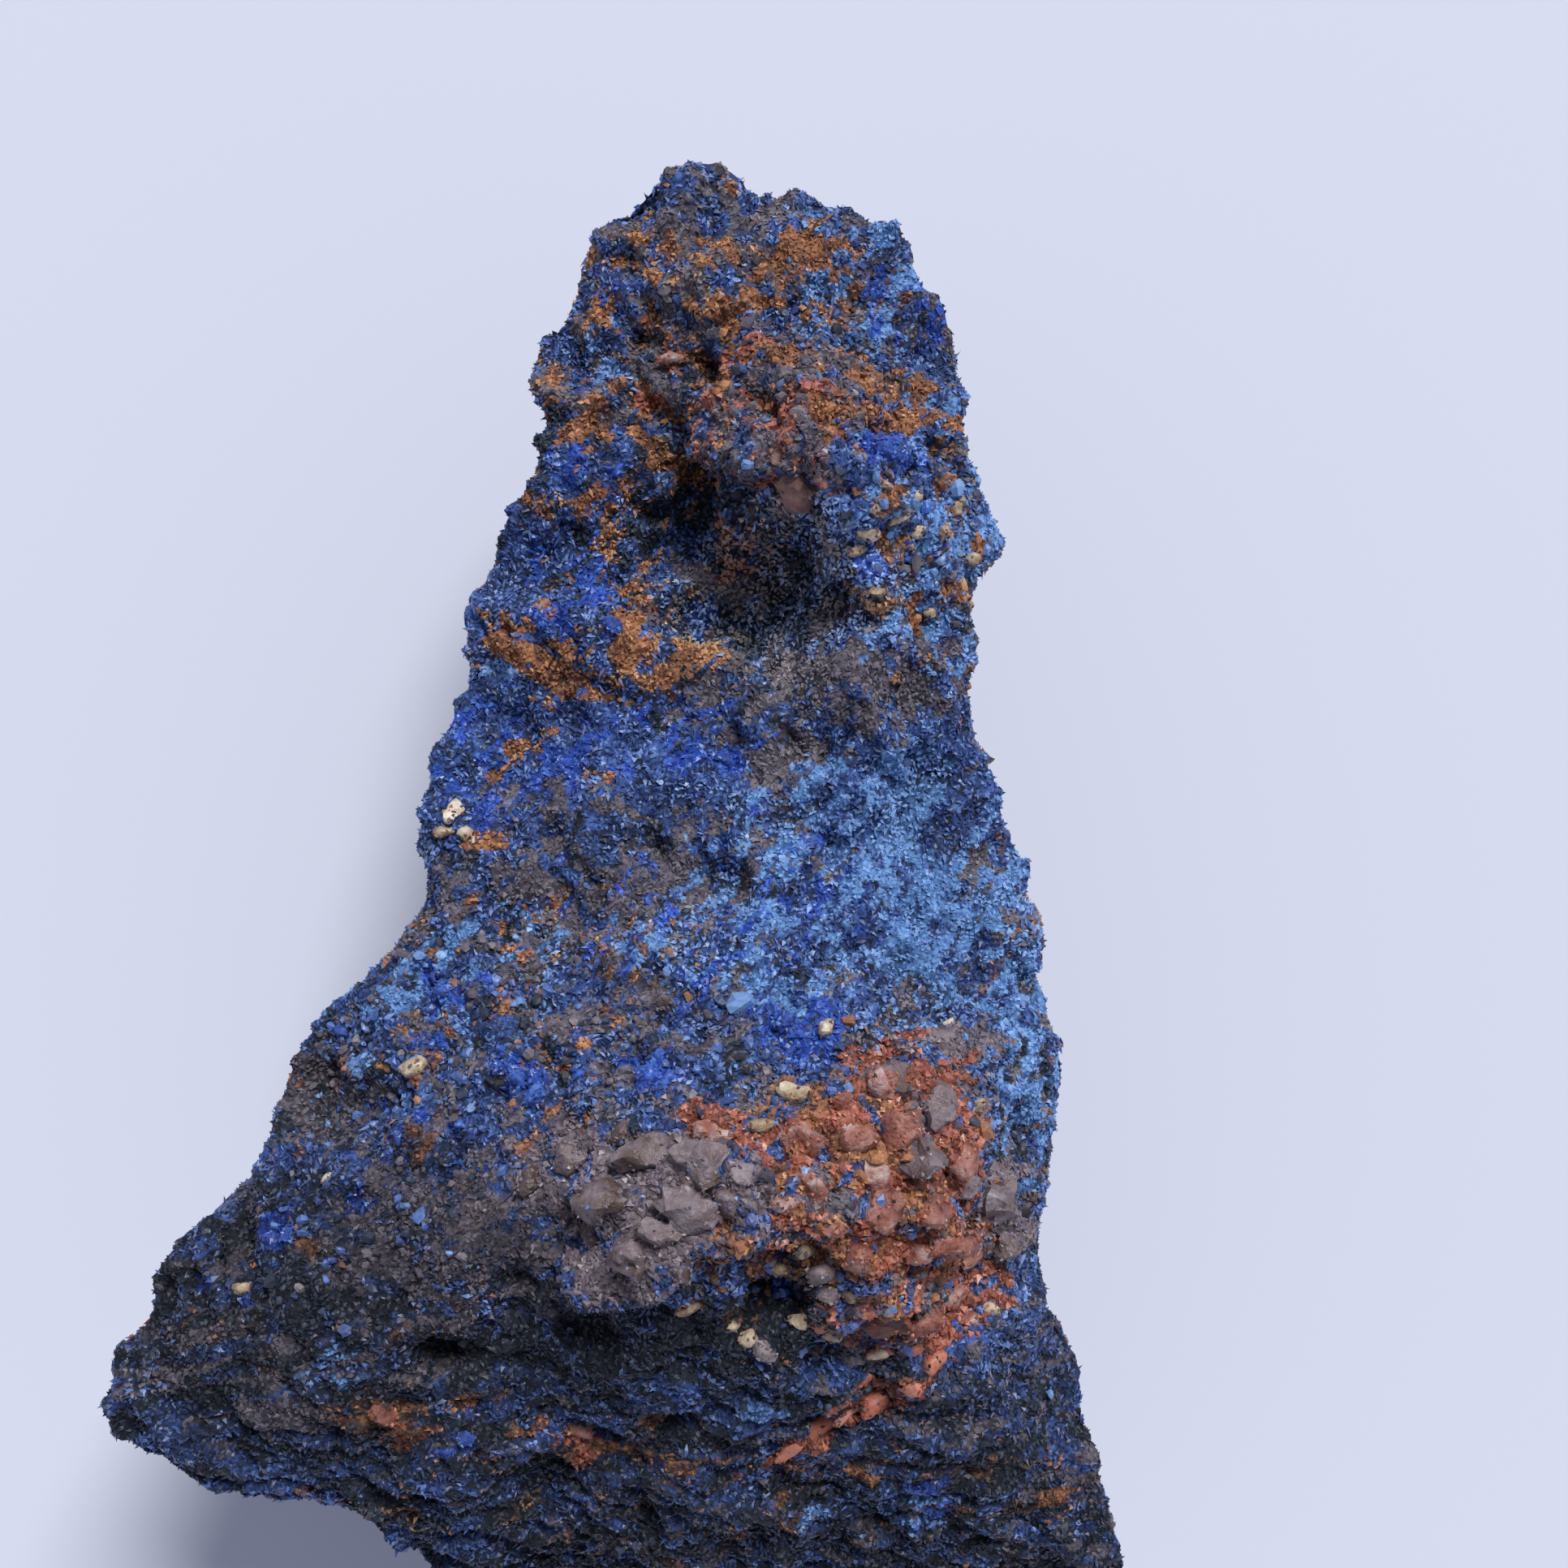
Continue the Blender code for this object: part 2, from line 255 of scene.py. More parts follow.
# %% The formula of the shape
def through(where, table, column):
    """A monotone cubic through one column of a table whose first column falls steadily."""
    rows = np.array(table)[::-1]
    knots, values = rows[:, 0], rows[:, column]
    step = np.diff(knots)
    slope = np.diff(values) / step
    before, after = slope[:-1], slope[1:]
    same_way = before * after > 0
    total = np.where(same_way, before + after, 1.0)
    tangent = np.zeros_like(values)
    tangent[1:-1] = np.where(same_way, 2.0 * before * after / total, 0.0)
    tangent[0], tangent[-1] = slope[0], slope[-1]
    i = np.clip(np.searchsorted(knots, where) - 1, 0, len(step) - 1)
    t = np.clip((where - knots[i]) / step[i], 0.0, 1.0)
    start = values[i] * (1 + 2 * t) * (1 - t) ** 2 + tangent[i] * step[i] * t * (1 - t) ** 2
    end = values[i + 1] * t * t * (3 - 2 * t) + tangent[i + 1] * step[i] * t * t * (t - 1)
    return start + end


def waves(points, length, seed):
    """A smooth random field, about -1 to 1: cosine waves of one length in many directions."""
    rng = np.random.default_rng(seed)
    directions = rng.normal(size=(WAVES, 3))
    directions /= np.linalg.norm(directions, axis=1, keepdims=True)
    lengths = rng.uniform(*WAVE_SPREAD, WAVES) * length
    phases = rng.uniform(0.0, 2.0 * np.pi, WAVES)
    angle = points @ (2.0 * np.pi * directions / lengths[:, None]).T + phases
    return np.cos(angle).sum(-1) / np.sqrt(2.0 * WAVES)


def relief(x, y):
    """Height of the upper face above the rim: every mound is a bell with its own reaches."""
    height = np.full_like(x, CROWN)
    for mound_x, mound_y, across, up, down, rise in RELIEF.values():
        along = np.where(y > mound_y, up, down)
        height += rise * np.exp(-((x - mound_x) / across) ** 2 - ((y - mound_y) / along) ** 2)
    return height


def section(y, angle):
    """Points of the sections at y: half-turns of the angle over the top and under the hull."""
    left, right = through(y, OUTLINE, 1), through(y, OUTLINE, 2)
    side, lift = np.cos(angle), np.sin(angle)
    x = (left + right) / 2 + (right - left) / 2 * side
    share = (1 + side) / 2
    rim = through(y, HEIGHTS, 1) * (1 - share) + through(y, HEIGHTS, 2) * share
    taper = np.clip((right - left) / FULL_RELIEF, 0.0, 1.0)
    above = relief(x, y) * taper * np.abs(lift) ** EDGE_ROUND
    below = through(y, HEIGHTS, 3) * (1 - np.abs(side) ** HULL_WIDE) ** HULL_DEEP
    return np.stack([x, y, rim + np.where(lift >= 0, above, -below)], axis=-1)


def ruler(points, weight):
    """How far along a line each of its points lies, from 0 to 1, with every step weighted."""
    step = np.linalg.norm(np.diff(points, axis=-2), axis=-1) * weight
    length = np.concatenate([np.zeros_like(step[..., :1]), np.cumsum(step, axis=-1)], axis=-1)
    return length / length[..., -1:]


def evened(rings, around, underside):
    """Y of every ring and the angle of every point on it, evenly spaced along the surface, with
    the underside's share of points. The angle starts and ends under the middle of the shard."""
    span = np.linspace(OUTLINE[0][0], OUTLINE[-1][0], SAMPLES)
    half = (through(span, OUTLINE, 2) - through(span, OUTLINE, 1)) / 2
    y = np.interp(np.linspace(0, 1, rings), ruler(np.stack([span, half], axis=-1), 1.0), span)
    turn = np.linspace(-np.pi / 2, 3 * np.pi / 2, SAMPLES)
    sheet = section(*np.meshgrid(y, turn, indexing="ij"))
    lengths = ruler(sheet, np.where(np.sin(turn[1:]) > 0, 1.0, underside))
    steps = np.arange(around) / around
    angle = np.stack([np.interp(steps, length, turn) for length in lengths])
    return np.repeat(y[:, None], around, axis=1), angle


def body(rings, around, underside):
    """Points of the shard: the sections, then the notch, the lug, the fractures and the
    unevenness of broken rock, and last the flat patch at the bottom."""
    points = section(*evened(rings, around, underside))
    x, y = points[..., 0], points[..., 1]
    behind = np.clip(1 - (NOTCH[1] - y) / NOTCH_BACK, 0, 1) ** 2
    y_push = -NOTCH[3] * behind * np.exp(-(((x - NOTCH[0]) / NOTCH[2]) ** 2))
    near = np.exp(-((x - LUG[0]) ** 2 + (y - LUG[1]) ** 2) / LUG[2] ** 2)
    points = points + np.stack([-LUG[3] * near, y_push, np.zeros_like(x)], axis=-1)
    for *facing, distance, share in FRACTURES.values():
        facing = np.array(facing) / np.linalg.norm(facing)
        beyond = np.maximum((points - MIDDLE) @ facing - distance, 0.0)
        points = points - share * beyond[..., None] * facing
    height = points[..., 2]
    fade = np.clip(height / FADE_HEIGHT, 0.0, 1.0)
    under = np.clip((RIM_FADE[0] - height) / (RIM_FADE[0] - RIM_FADE[1]), 0.0, 1.0)
    nudge = np.zeros_like(points)
    for length, size, at_rim, seed in LUMPS:
        sideways = at_rim + (1 - at_rim) * under
        for axis, share in enumerate((sideways, sideways, 1.0)):
            nudge[..., axis] += size * share * waves(points, length, seed + 100 * axis)
    points = points + nudge * fade[..., None]
    points[..., 2] = np.maximum(points[..., 2], 0.0)
    return points


# %% [markdown]
# ## A fine grid on the shard
#
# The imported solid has 8,000 triangles. The skin has nearly 200,000, with a point about every
# tenth of a millimetre on the upper face, and fewer underneath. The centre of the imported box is
# where the coarse grid's box has its centre, so the same shift brings both to one place.

# %% A fine grid on the shard
COARSE = (68, 66, 0.6)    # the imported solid's rings, points around and share underneath
RINGS, AROUND = 330, 300  # the skin's
UNDERSIDE_SHARE = 0.5     # of the points that its length would give the underside

coarse = body(*COARSE)
low, high = coarse.min(axis=(0, 1)), coarse.max(axis=(0, 1))
SHIFT = np.array([(low[0] + high[0]) / 2, (low[1] + high[1]) / 2, low[2]])
grid = body(RINGS + 2, AROUND, UNDERSIDE_SHARE) - SHIFT


def facing_of(points):
    """Unit normals of a closed grid: the cross product of its steps around and along."""
    around = np.roll(points, -1, axis=1) - np.roll(points, 1, axis=1)
    along = np.gradient(points, axis=0)
    normal = np.cross(around, along)
    length = np.linalg.norm(normal, axis=-1, keepdims=True)
    normal /= np.maximum(length, 1e-12)
    normal[0], normal[-1] = (0, 1, 0), (0, -1, 0)
    return normal


facing = facing_of(grid)
step = np.linalg.norm(np.diff(grid, axis=0), axis=-1)
print("rings", RINGS, "around", AROUND, "mean step along, mm", round(float(step.mean()), 3))

# %% [markdown]
# ## Rounded cells
#
# Sandstone crumbles into rounded grains. To model them one by one would take thousands of
# pieces, so each point of the skin asks how far it is from the nearest of many strewn middles,
# one in each cube of a lattice. They come from the cube's whole numbers, so they are the same
# on each run.


# %% Rounded cells
def hashed(cell, seed):
    """Three repeatable random numbers from 0 to 1 for each cell of a lattice: its integers,
    multiplied by large odd numbers and folded on themselves, until they look like chance."""
    mixed = cell @ np.array([73856093, 19349663, 83492791]) + seed * 2654435761
    out = []
    for turn in (1, 2, 3):
        mixed = (mixed ^ (mixed >> 13)) * 1274126177 + turn * 374761393
        mixed &= 0xFFFFFFFF
        out.append(((mixed ^ (mixed >> 16)) & 0xFFFFFF) / 0xFFFFFF)
    return np.stack(out, axis=-1)


def cells(points, size, seed):
    """Distance to the nearest of many strewn points, one in each cube of this size, in units of
    the size, and a random number that belongs to that nearest point."""
    place = points / size
    corner = np.floor(place).astype(np.int64)
    nearest = np.full(place.shape[:-1], 9.0)
    number = np.zeros(place.shape[:-1])
    for step in itertools.product((-1, 0, 1), repeat=3):
        chance = hashed(corner + np.array(step), seed)
        distance = np.linalg.norm(corner + np.array(step) + chance - place, axis=-1)
        closer = distance < nearest
        nearest = np.where(closer, distance, nearest)
        number = np.where(closer, chance[..., 0], number)
    return nearest, number


def smooth(value, start, end):
    """0 before start, 1 after end, and an S-shaped rise between them."""
    t = np.clip((value - start) / (end - start), 0.0, 1.0)
    return t * t * (3 - 2 * t)


# %% [markdown]
# ## The relief of the crust
#
# Three things roughen the stone at this scale. The sandstone breaks into crumbs along its
# grains, which rounded cells and ridged waves give. Its bedding shows as ledges on the steep
# front face. And here and there a grain has fallen out and left a pit. A displacement texture
# would do for a picture, but the mesh itself is kept, so the relief is moved into its points.

# %% The relief of the crust
# Ridged waves: length, height, seed.
CRUMBLE = ((2.4, 0.30, 21), (1.2, 0.18, 22), (0.6, 0.09, 23), (0.33, 0.04, 24))
# Size of the rounded grains, how far they stand out, seed, how much further in a cluster.
CRUMBS = ((1.05, 0.0, 33, 0.55), (0.62, 0.12, 31, 0.22), (0.36, 0.10, 32, 0.05))
UPPER_FACE = (-0.1, 0.3)      # upward part of the facing over which the upper face begins
RIM_FACE = (0.1, 0.6)         # and over which the outline's edge ends
RIM_SHARE = 0.5               # share of the larger relief that is left where the outline shows
RIM_DROP = 0.24               # mm, over the lost share: makes room for the crystals on the outline
BEDDING = (0.10, 0.42, 0.90)  # the way the beds face
BED = 0.40                    # mean thickness of a bed
BED_SWAY = (0.30, 5.0, 41)    # mm that the beds sway, over waves of this length, seed
BED_UNEVEN = (0.35, 1.6, 42)  # share of a bed by which its thickness varies, length, seed
LEDGE = (0.04, 0.09)          # mm that a ledge stands out, and how much more on the front
FRONT_FROM = (6.0, 8.5)       # mm towards -Y over which the front face begins
FRONT_STEEP = (0.25, 0.6)     # part of the facing towards -Y over which it counts as front
KNOB = (4.0, 10.2, 3.2, 2.6)  # X, Y, reach in X and in Y of the rougher rock at the knob
KNOB_ROUGHER = 0.7            # share that the knob adds to the ridged waves
ELSEWHERE = 0.8               # share of the waves off the knob, and of the crumbs off the sand
RIDGED = (0.6, 1.6)           # shares of a wave's height that a ridge rises and a valley falls
OWN_RISE = (0.5, 0.8)         # least share of its rise that a crumb has, and what chance adds
CAP_MEAN = 0.6                # about the mean height of a round cap, so that it adds no bulk
RISER = (0.15, 0.75)          # shares of half a bed over which a ledge steps out
PIT_FRAYED = (0.25, 0.7, 43)  # share of a pit's reach by which its edge wanders, length, seed
PIT_WALL = (0.35, 1.15)       # shares of its reach over which a pit's floor rises to its edge
OVAL_EDGE = (0.65, 1.35)      # shares of its radius over which an oval's cover fades out
BASE_SMOOTH = (0.1, 1.6)      # heights in mm over which the relief grows, from none at the base
# Tables of ovals: X, Y, half length, half width in mm, turn in degrees, cover in the middle.
# Clusters of quartz, whose grains stand out as rounded lumps.
CLUSTERS = (
    (1.1, -3.6, 1.9, 1.1, -8, 1), (0.4, -4.9, 1.3, 0.6, 15, 1), (-1, -3.5, 1, 0.7, 0, 0.8),
    (7.4, -4.7, 0.8, 1, 20, 1), (5.4, -2.7, 1.6, 1.6, 0, 1), (5.5, -4.9, 1.5, 1.3, -20, 0.8),
    (3.9, 10.3, 1.6, 1.3, 0, 0.9), (5.2, -6.2, 1.1, 0.7, 0, 0.8), (1.9, -2.8, 0.7, 0.5, 0, 0.9),
)
# Places where coated sand grains, and not velvet, make up the surface.
SANDY = (
    (-3.4, -1.5, 3, 2, 28, 1), (5.9, 8.6, 1.3, 2.3, 0, 1), (5, -4.4, 2.8, 3.6, 0, 1),
    (-4.6, -4.6, 2.6, 1.6, 20, 0.6), (3.4, 10.8, 2.2, 1.5, 0, 0.7), (1, -1.2, 3, 1.2, 0, 0.6),
    (2.6, 13.2, 2.4, 1.2, 0, 0.4),
)
# Pits where grains have fallen out: X, Y, reach, depth.
PITS = (
    (1.3, 9.6, 0.75, 0.55), (3.1, 8, 1, 0.5), (1.5, 12.2, 0.4, 0.45), (0.2, 12.7, 0.35, 0.35),
    (2.5, 11.3, 0.4, 0.4), (2.2, 7.2, 0.6, 0.35), (4.2, 7.4, 0.55, 0.4), (-2.4, 6.9, 0.16, 0.2),
    (3.3, -5.6, 0.6, 0.3), (-4.4, -2.4, 0.45, 0.35), (2.2, 1.8, 0.45, 0.3), (-1.6, 0.6, 0.4, 0.3),
    (6.3, -0.6, 0.35, 0.3), (3.9, -7.2, 0.5, 0.4), (-3.4, -7.3, 0.5, 0.35), (7, -3.6, 0.3, 0.3),
)


def covered(points, ovals, frayed):
    """How much of each point's place a table of ovals covers: its full cover in the middle, and
    an edge that fades out and is frayed by a random field."""
    cover = np.zeros(points.shape[:-1])
    for x, y, length, width, turn, most in ovals:
        turn = np.radians(turn)
        dx, dy = points[..., 0] - x, points[..., 1] - y
        along = (dx * np.cos(turn) + dy * np.sin(turn)) / length
        across = (dy * np.cos(turn) - dx * np.sin(turn)) / width
        faded = smooth(np.hypot(along, across) + frayed, *OVAL_EDGE)
        cover = np.maximum(cover, most * (1 - faded))
    return cover


def crust_height(points, facing):
    """How far the crust stands out: ridged waves, rounded cells and ledges of the bedding, less
    the pits. The front face has the strongest ledges, sand and clusters the strongest lumps."""
    x, y, z = np.moveaxis(points, -1, 0)
    upper = smooth(facing[..., 2], *UPPER_FACE)
    front = upper * smooth(-facing[..., 1], *FRONT_STEEP) * smooth(-y, *FRONT_FROM)
    knob = upper * np.exp(-(((x - KNOB[0]) / KNOB[2]) ** 2) - ((y - KNOB[1]) / KNOB[3]) ** 2)
    rough = ELSEWHERE + KNOB_ROUGHER * knob
    sandy = upper * covered(points, SANDY, 0.0)
    cluster = upper * covered(points, CLUSTERS, 0.0)
    at_rim = RIM_SHARE + (1 - RIM_SHARE) * smooth(np.abs(facing[..., 2]), *RIM_FACE)
    height = RIM_DROP * (at_rim - 1)
    for length, size, seed in CRUMBLE:
        ridges = RIDGED[0] - RIDGED[1] * np.abs(waves(points, length, seed))
        height += size * at_rim * rough * ridges
    for size, rise, seed, in_cluster in CRUMBS:
        apart, chance = cells(points, size, seed)
        rise = rise * (ELSEWHERE + sandy) + in_cluster * cluster
        cap = np.sqrt(np.maximum(1 - apart**2, 0)) - CAP_MEAN
        height += rise * (OWN_RISE[0] + OWN_RISE[1] * chance) * cap
    along = points @ (np.array(BEDDING) / np.linalg.norm(BEDDING))
    along = along + BED_SWAY[0] * waves(points, *BED_SWAY[1:])
    bed = along / BED + BED_UNEVEN[0] * waves(points, *BED_UNEVEN[1:])
    ledge = np.abs((bed % 1.0) - 0.5) * 2
    height += (LEDGE[0] + LEDGE[1] * front) * (smooth(ledge, *RISER) - 0.5)
    for pit_x, pit_y, reach, depth in PITS:
        apart = np.hypot(x - pit_x, y - pit_y) / reach + PIT_FRAYED[0] * waves(points, *PIT_FRAYED[1:])
        height -= depth * upper * (1 - smooth(apart, *PIT_WALL))
    return height * smooth(z, *BASE_SMOOTH)


height = crust_height(grid, facing)
height[0], height[-1] = height[0].mean(), height[-1].mean()
skin_points = grid + height[..., None] * facing
skin_points[..., 2] = np.maximum(skin_points[..., 2], 0.0)
skin_facing = facing_of(skin_points)
print("crust relief, mm:", round(float(height.min()), 2), "to", round(float(height.max()), 2))

# %% [markdown]
# ## Where each mineral lies
#
# Water left the minerals in patches, so each one has a table of places: the middle of the
# patch, its half length and half width, its turn from the X axis, and how much of its middle it
# covers. Broad thin patches colour a whole region, and small dense ones are its bright spots.
# Waves as fine as the grains decide which grains are covered. A painted map could say the same,
# but a table can be read and changed. Away from the upper face, broad random fields spread the
# same minerals over the flanks and the underside.

# %% Where each mineral lies
# X, Y, half length, half width in mm, turn in degrees, cover. A later mineral lies on top.
PATCHES = {
    # Slate in the hollow and the pits under the knob, on the front face and on the lobe is painted
    # shade; elsewhere it is dark filmed azurite.
    "slate": (
        (2.7, 8.1, 1.9, 1.5, 0, 0.5), (1.3, 9.6, 1, 0.8, 0, 0.8), (2, 5.7, 1.3, 0.8, 0, 0.45),
        (-0.5, 9.5, 1.8, 2.2, 0, 0.3), (1.3, 12, 1.5, 0.6, 10, 0.4), (2.5, 11.2, 0.8, 0.5, 0, 0.6),
        (2.5, 14, 3.2, 1.8, 0, 0.08), (-2.4, 0, 4.2, 1.8, 25, 0.25), (-6.1, -2.4, 1.3, 1.2, 0, 0.5),
        (1.3, -1.3, 3, 1.2, 0, 0.22), (-6.8, -7.2, 3.2, 2.4, 0, 0.62), (-0.7, -6.7, 5.4, 1.2, 0, 0.75),
        (2, -10.2, 9, 2.6, 0, 0.45), (3, -13.8, 7.6, 3, 0, 0.38), (9, -9, 1.8, 5, 0, 0.16),
        (3.3, -5.5, 0.9, 0.9, 0, 0.85), (5.2, -6.6, 1.5, 0.8, 10, 0.5), (7.8, -2.8, 0.7, 1.6, 0, 0.35),
    ),
    "silt": (
        (0.7, 14.6, 1.9, 1.4, 30, 0.55), (2.6, 13.4, 4.2, 2.6, 0, 0.34), (0.4, 11.9, 2.2, 1.1, 0, 0.48),
        (3.5, 11, 1.9, 1.3, 0, 0.72), (2.9, 7.6, 2, 1.6, 0, 0.45), (5.6, 12.1, 1.4, 1, 0, 0.4),
        (6.2, 8.3, 1.3, 2.2, 0, 0.48), (4.5, 5.8, 2.5, 0.95, 10, 0.7), (2.8, 5, 1.1, 0.8, 0, 0.45),
        (3.2, 4.3, 0.9, 0.65, 30, 0.8), (-0.3, 1.4, 2.7, 1.2, 6, 0.66), (2.6, 2.5, 1.4, 1, 0, 0.35),
        (1.2, 4.9, 0.6, 0.5, 0, 0.5), (-3.4, -1.5, 3.6, 2, 20, 0.4), (-6, -2.3, 1.3, 1.2, 0, 0.7),
        (1.3, -1, 2.8, 1.4, 0, 0.42), (-3.6, -4.5, 2.6, 1.3, 10, 0.6), (-2.4, -5.4, 1.8, 0.7, 0, 0.74),
        (-6.6, -6.6, 3.2, 2.2, 0, 0.26), (2, -10.2, 9, 2.8, 0, 0.09), (3, -13.8, 7.6, 3.2, 0, 0.06),
        (8, -0.6, 1.1, 4, 0, 0.3), (7, 1.9, 0.6, 0.8, 0, 0.75), (8.9, -8.5, 1.6, 4.6, 0, 0.22),
        (5.4, -4.6, 2.4, 3.4, 0, 0.4), (6.2, -0.9, 1.3, 0.7, 0, 0.5), (-4.2, 1, 1, 0.9, 30, 0.4),
        (-1.6, 3.4, 1.6, 0.4, 0, 0.35),
    ),
    "powder": (
        (5.8, 4.4, 0.6, 0.2, 0, 1), (5.5, 2.6, 1.6, 1.7, 0, 0.78), (4.2, 1.4, 2.6, 2.3, 0, 0.38),
        (5.6, 0.4, 0.85, 0.45, 0, 0.9), (3.1, -0.2, 0.45, 0.4, 0, 0.8), (6.2, -1, 0.5, 0.3, 0, 0.8),
        (-4, 0, 0.9, 0.4, 25, 0.65), (-4.9, -0.9, 0.9, 0.45, 30, 0.45),
        (-2.9, 6.2, 0.75, 0.14, -5, 0.7), (5.1, 10, 0.6, 0.6, 0, 0.6), (5.9, 7, 0.7, 0.5, 0, 0.5),
        (6.2, 9, 1.3, 2.4, 0, 0.5), (8, -0.4, 1.2, 4.2, 0, 0.52), (2.8, -8.3, 0.4, 0.22, 0, 0.6),
        (1, 0.7, 1, 0.5, 0, 0.35), (5, 14, 1.5, 1.4, -30, 0.4), (-5.4, -7.4, 0.6, 0.35, 0, 0.35),
        (5.6, -11, 2, 0.6, 0, 0.16), (-0.5, 12.6, 0.4, 0.5, 0, 0.3), (1.6, 2.6, 0.6, 0.3, 20, 0.4),
        (-3, -0.6, 3.2, 1.4, 27, 0.2),
    ),
    "vivid": (
        (5.2, 10.2, 0.55, 0.5, 0, 0.8), (5.4, 13.4, 0.9, 0.6, -20, 0.45),
        (-3.1, 4.3, 0.9, 1.4, 0, 0.42), (-0.6, 4.6, 2.6, 0.8, 5, 0.25), (1.9, 4.2, 0.5, 0.25, 0, 0.8),
        (-1.9, -1.9, 0.48, 0.36, 0, 0.95), (0.7, -1.7, 0.6, 0.32, 0, 0.8), (3.3, -0.9, 1, 0.5, 0, 0.65),
        (-3.6, -0.3, 0.45, 0.4, 0, 0.6), (-0.3, 6.9, 0.5, 0.25, -40, 0.8), (-1.3, 7.7, 1, 1.1, 0, 0.32),
        (-0.9, 10.1, 0.6, 1, 0, 0.32), (-6.6, -5, 0.45, 0.35, 0, 0.7), (-3, -8.9, 0.6, 0.35, 0, 0.35),
        (3.3, -5.9, 0.4, 0.2, 0, 0.6), (-4, -3.3, 1.6, 0.8, 0, 0.22), (-5, -4.4, 0.35, 0.25, 0, 0.6),
        (-8, -6.2, 0.6, 0.4, 0, 0.3), (5, 8.2, 0.5, 0.5, 0, 0.4), (6.3, -10.8, 0.9, 0.8, 0, 0.15),
        (1.4, 7.3, 0.4, 0.4, 0, 0.2), (2, 1.4, 3, 1.6, 0, 0.12), (-0.6, 14.2, 1, 1.2, 0, 0.12),
        (-2.6, -1.2, 2.6, 1.4, 25, 0.16),
    ),
    "bare": (
        (0.9, -3.6, 1.75, 1.05, -8, 0.9), (0.4, -4.9, 1.1, 0.5, 15, 0.95),
        (-0.9, -3.5, 0.9, 0.6, 0, 0.7), (7.4, -4.7, 0.6, 0.9, 20, 0.9), (3.6, 9.4, 0.6, 0.35, 20, 0.8),
        (6.1, -1.5, 1.1, 0.6, 0, 0.45), (5.2, -2.2, 0.9, 0.9, 0, 0.5), (-2, -4.4, 1.4, 0.8, 0, 0.3),
    ),
    "rust": (
        (5.2, -2, 1.2, 0.9, 0, 0.62), (5.5, -3.3, 1.3, 1.3, 0, 0.66), (4, -2.8, 1, 0.6, 0, 0.6),
        (4.6, -4.4, 1, 0.6, -20, 0.5), (6, -4.9, 1.2, 0.7, -25, 0.72), (5.3, -6.1, 1.3, 0.8, 0, 0.58),
        (6.6, -6.6, 1, 0.45, 40, 0.72), (4, -8.9, 1.1, 0.3, 38, 0.8), (5.3, -7.9, 1, 0.36, 32, 0.7),
        (3.2, -4.2, 0.5, 0.4, 0, 0.6), (1.8, -2.6, 0.42, 0.36, 0, 0.95),
        (0.8, 12.4, 0.45, 0.22, 0, 0.6), (2.2, 8.6, 0.6, 0.5, 40, 0.6), (1.8, 11.4, 0.5, 0.2, 12, 0.7),
        (2.2, 12.1, 0.7, 0.3, 20, 0.45), (3.3, 10.6, 1.5, 1, 10, 0.38),
        (-4.5, -8.7, 0.6, 0.42, 0, 0.52), (-1.1, -9.2, 0.55, 0.45, -25, 0.52),
        (0.4, 11.6, 0.6, 0.25, -20, 0.5), (2.8, -2.9, 0.8, 0.3, -20, 0.45),
    ),
    "limonite": (
        (3.3, 14.3, 0.75, 0.6, 20, 0.66), (4, 14.8, 0.6, 0.35, -20, 0.58),
        (2.4, 13.3, 0.8, 0.3, 8, 0.66), (3.2, 13.9, 0.65, 0.24, 0, 0.66),
        (1.1, 13, 0.55, 0.38, 30, 0.58), (1.7, 11.5, 0.7, 0.25, 12, 0.57),
        (2.9, 12.2, 0.9, 0.35, -5, 0.57), (-0.9, 11, 0.45, 0.28, 0, 0.66),
        (5.3, 11.5, 0.95, 0.7, 55, 0.66), (5.9, 11, 0.65, 0.38, -20, 0.62),
        (4.3, 11.9, 0.85, 0.45, -10, 0.48), (4, 10.5, 0.32, 0.45, 0, 0.7),
        (-0.2, 9.8, 0.85, 0.25, 22, 0.58), (0.9, 10.3, 0.5, 0.4, -30, 0.58),
        (-0.5, 8.9, 0.42, 0.65, 10, 0.58), (-0.4, 7.9, 0.32, 0.65, -8, 0.58),
        (-0.3, 7, 0.55, 0.45, -40, 0.58), (-2.5, 6.9, 0.62, 0.45, 0, 0.62),
        (-2.7, 6.4, 0.6, 0.22, -10, 0.55), (-1.5, 6, 0.95, 0.52, -8, 0.68),
        (0.8, 6.2, 1.15, 0.55, 12, 0.71), (-0.1, 5.7, 0.4, 0.3, 0, 0.7),
        (-2.2, 4.4, 0.38, 0.25, 15, 0.74), (-1.8, 4.7, 0.28, 0.14, 30, 0.7),
        (-2.8, 4, 0.18, 0.14, 0, 0.7), (-0.5, 3.9, 0.35, 0.15, -10, 0.62),
        (2, 8.9, 0.45, 0.35, 30, 0.4), (5, 7.3, 0.22, 0.18, 0, 0.74), (5.7, 7.4, 0.28, 0.2, 0, 0.62),
        (6.8, 8.4, 0.35, 0.3, 0, 0.55), (-3, 2.5, 0.4, 0.18, 10, 0.7),
        (-1.9, 0.3, 0.24, 0.14, 20, 0.62), (-2.4, 0.5, 0.18, 0.12, 0, 0.62),
        (-0.6, -1.3, 0.18, 0.12, 0, 0.7), (3.4, -2.6, 0.8, 0.42, -15, 0.48),
        (-4.6, -8.6, 0.95, 0.42, -12, 0.66), (-1.2, -9.2, 0.9, 0.42, -25, 0.66),
        (-2.6, -8.1, 0.6, 0.18, 5, 0.44), (8.6, -10.8, 0.25, 0.16, 0, 0.55),
        (4.6, -9.9, 0.35, 0.14, -20, 0.53), (-6, -5.3, 0.3, 0.15, 20, 0.53),
        (2.2, -5.9, 0.6, 0.5, 0, 0.4), (0.6, 13, 2.2, 2.2, 0, 0.26), (3.4, 12.4, 2.6, 1.4, 0, 0.24),
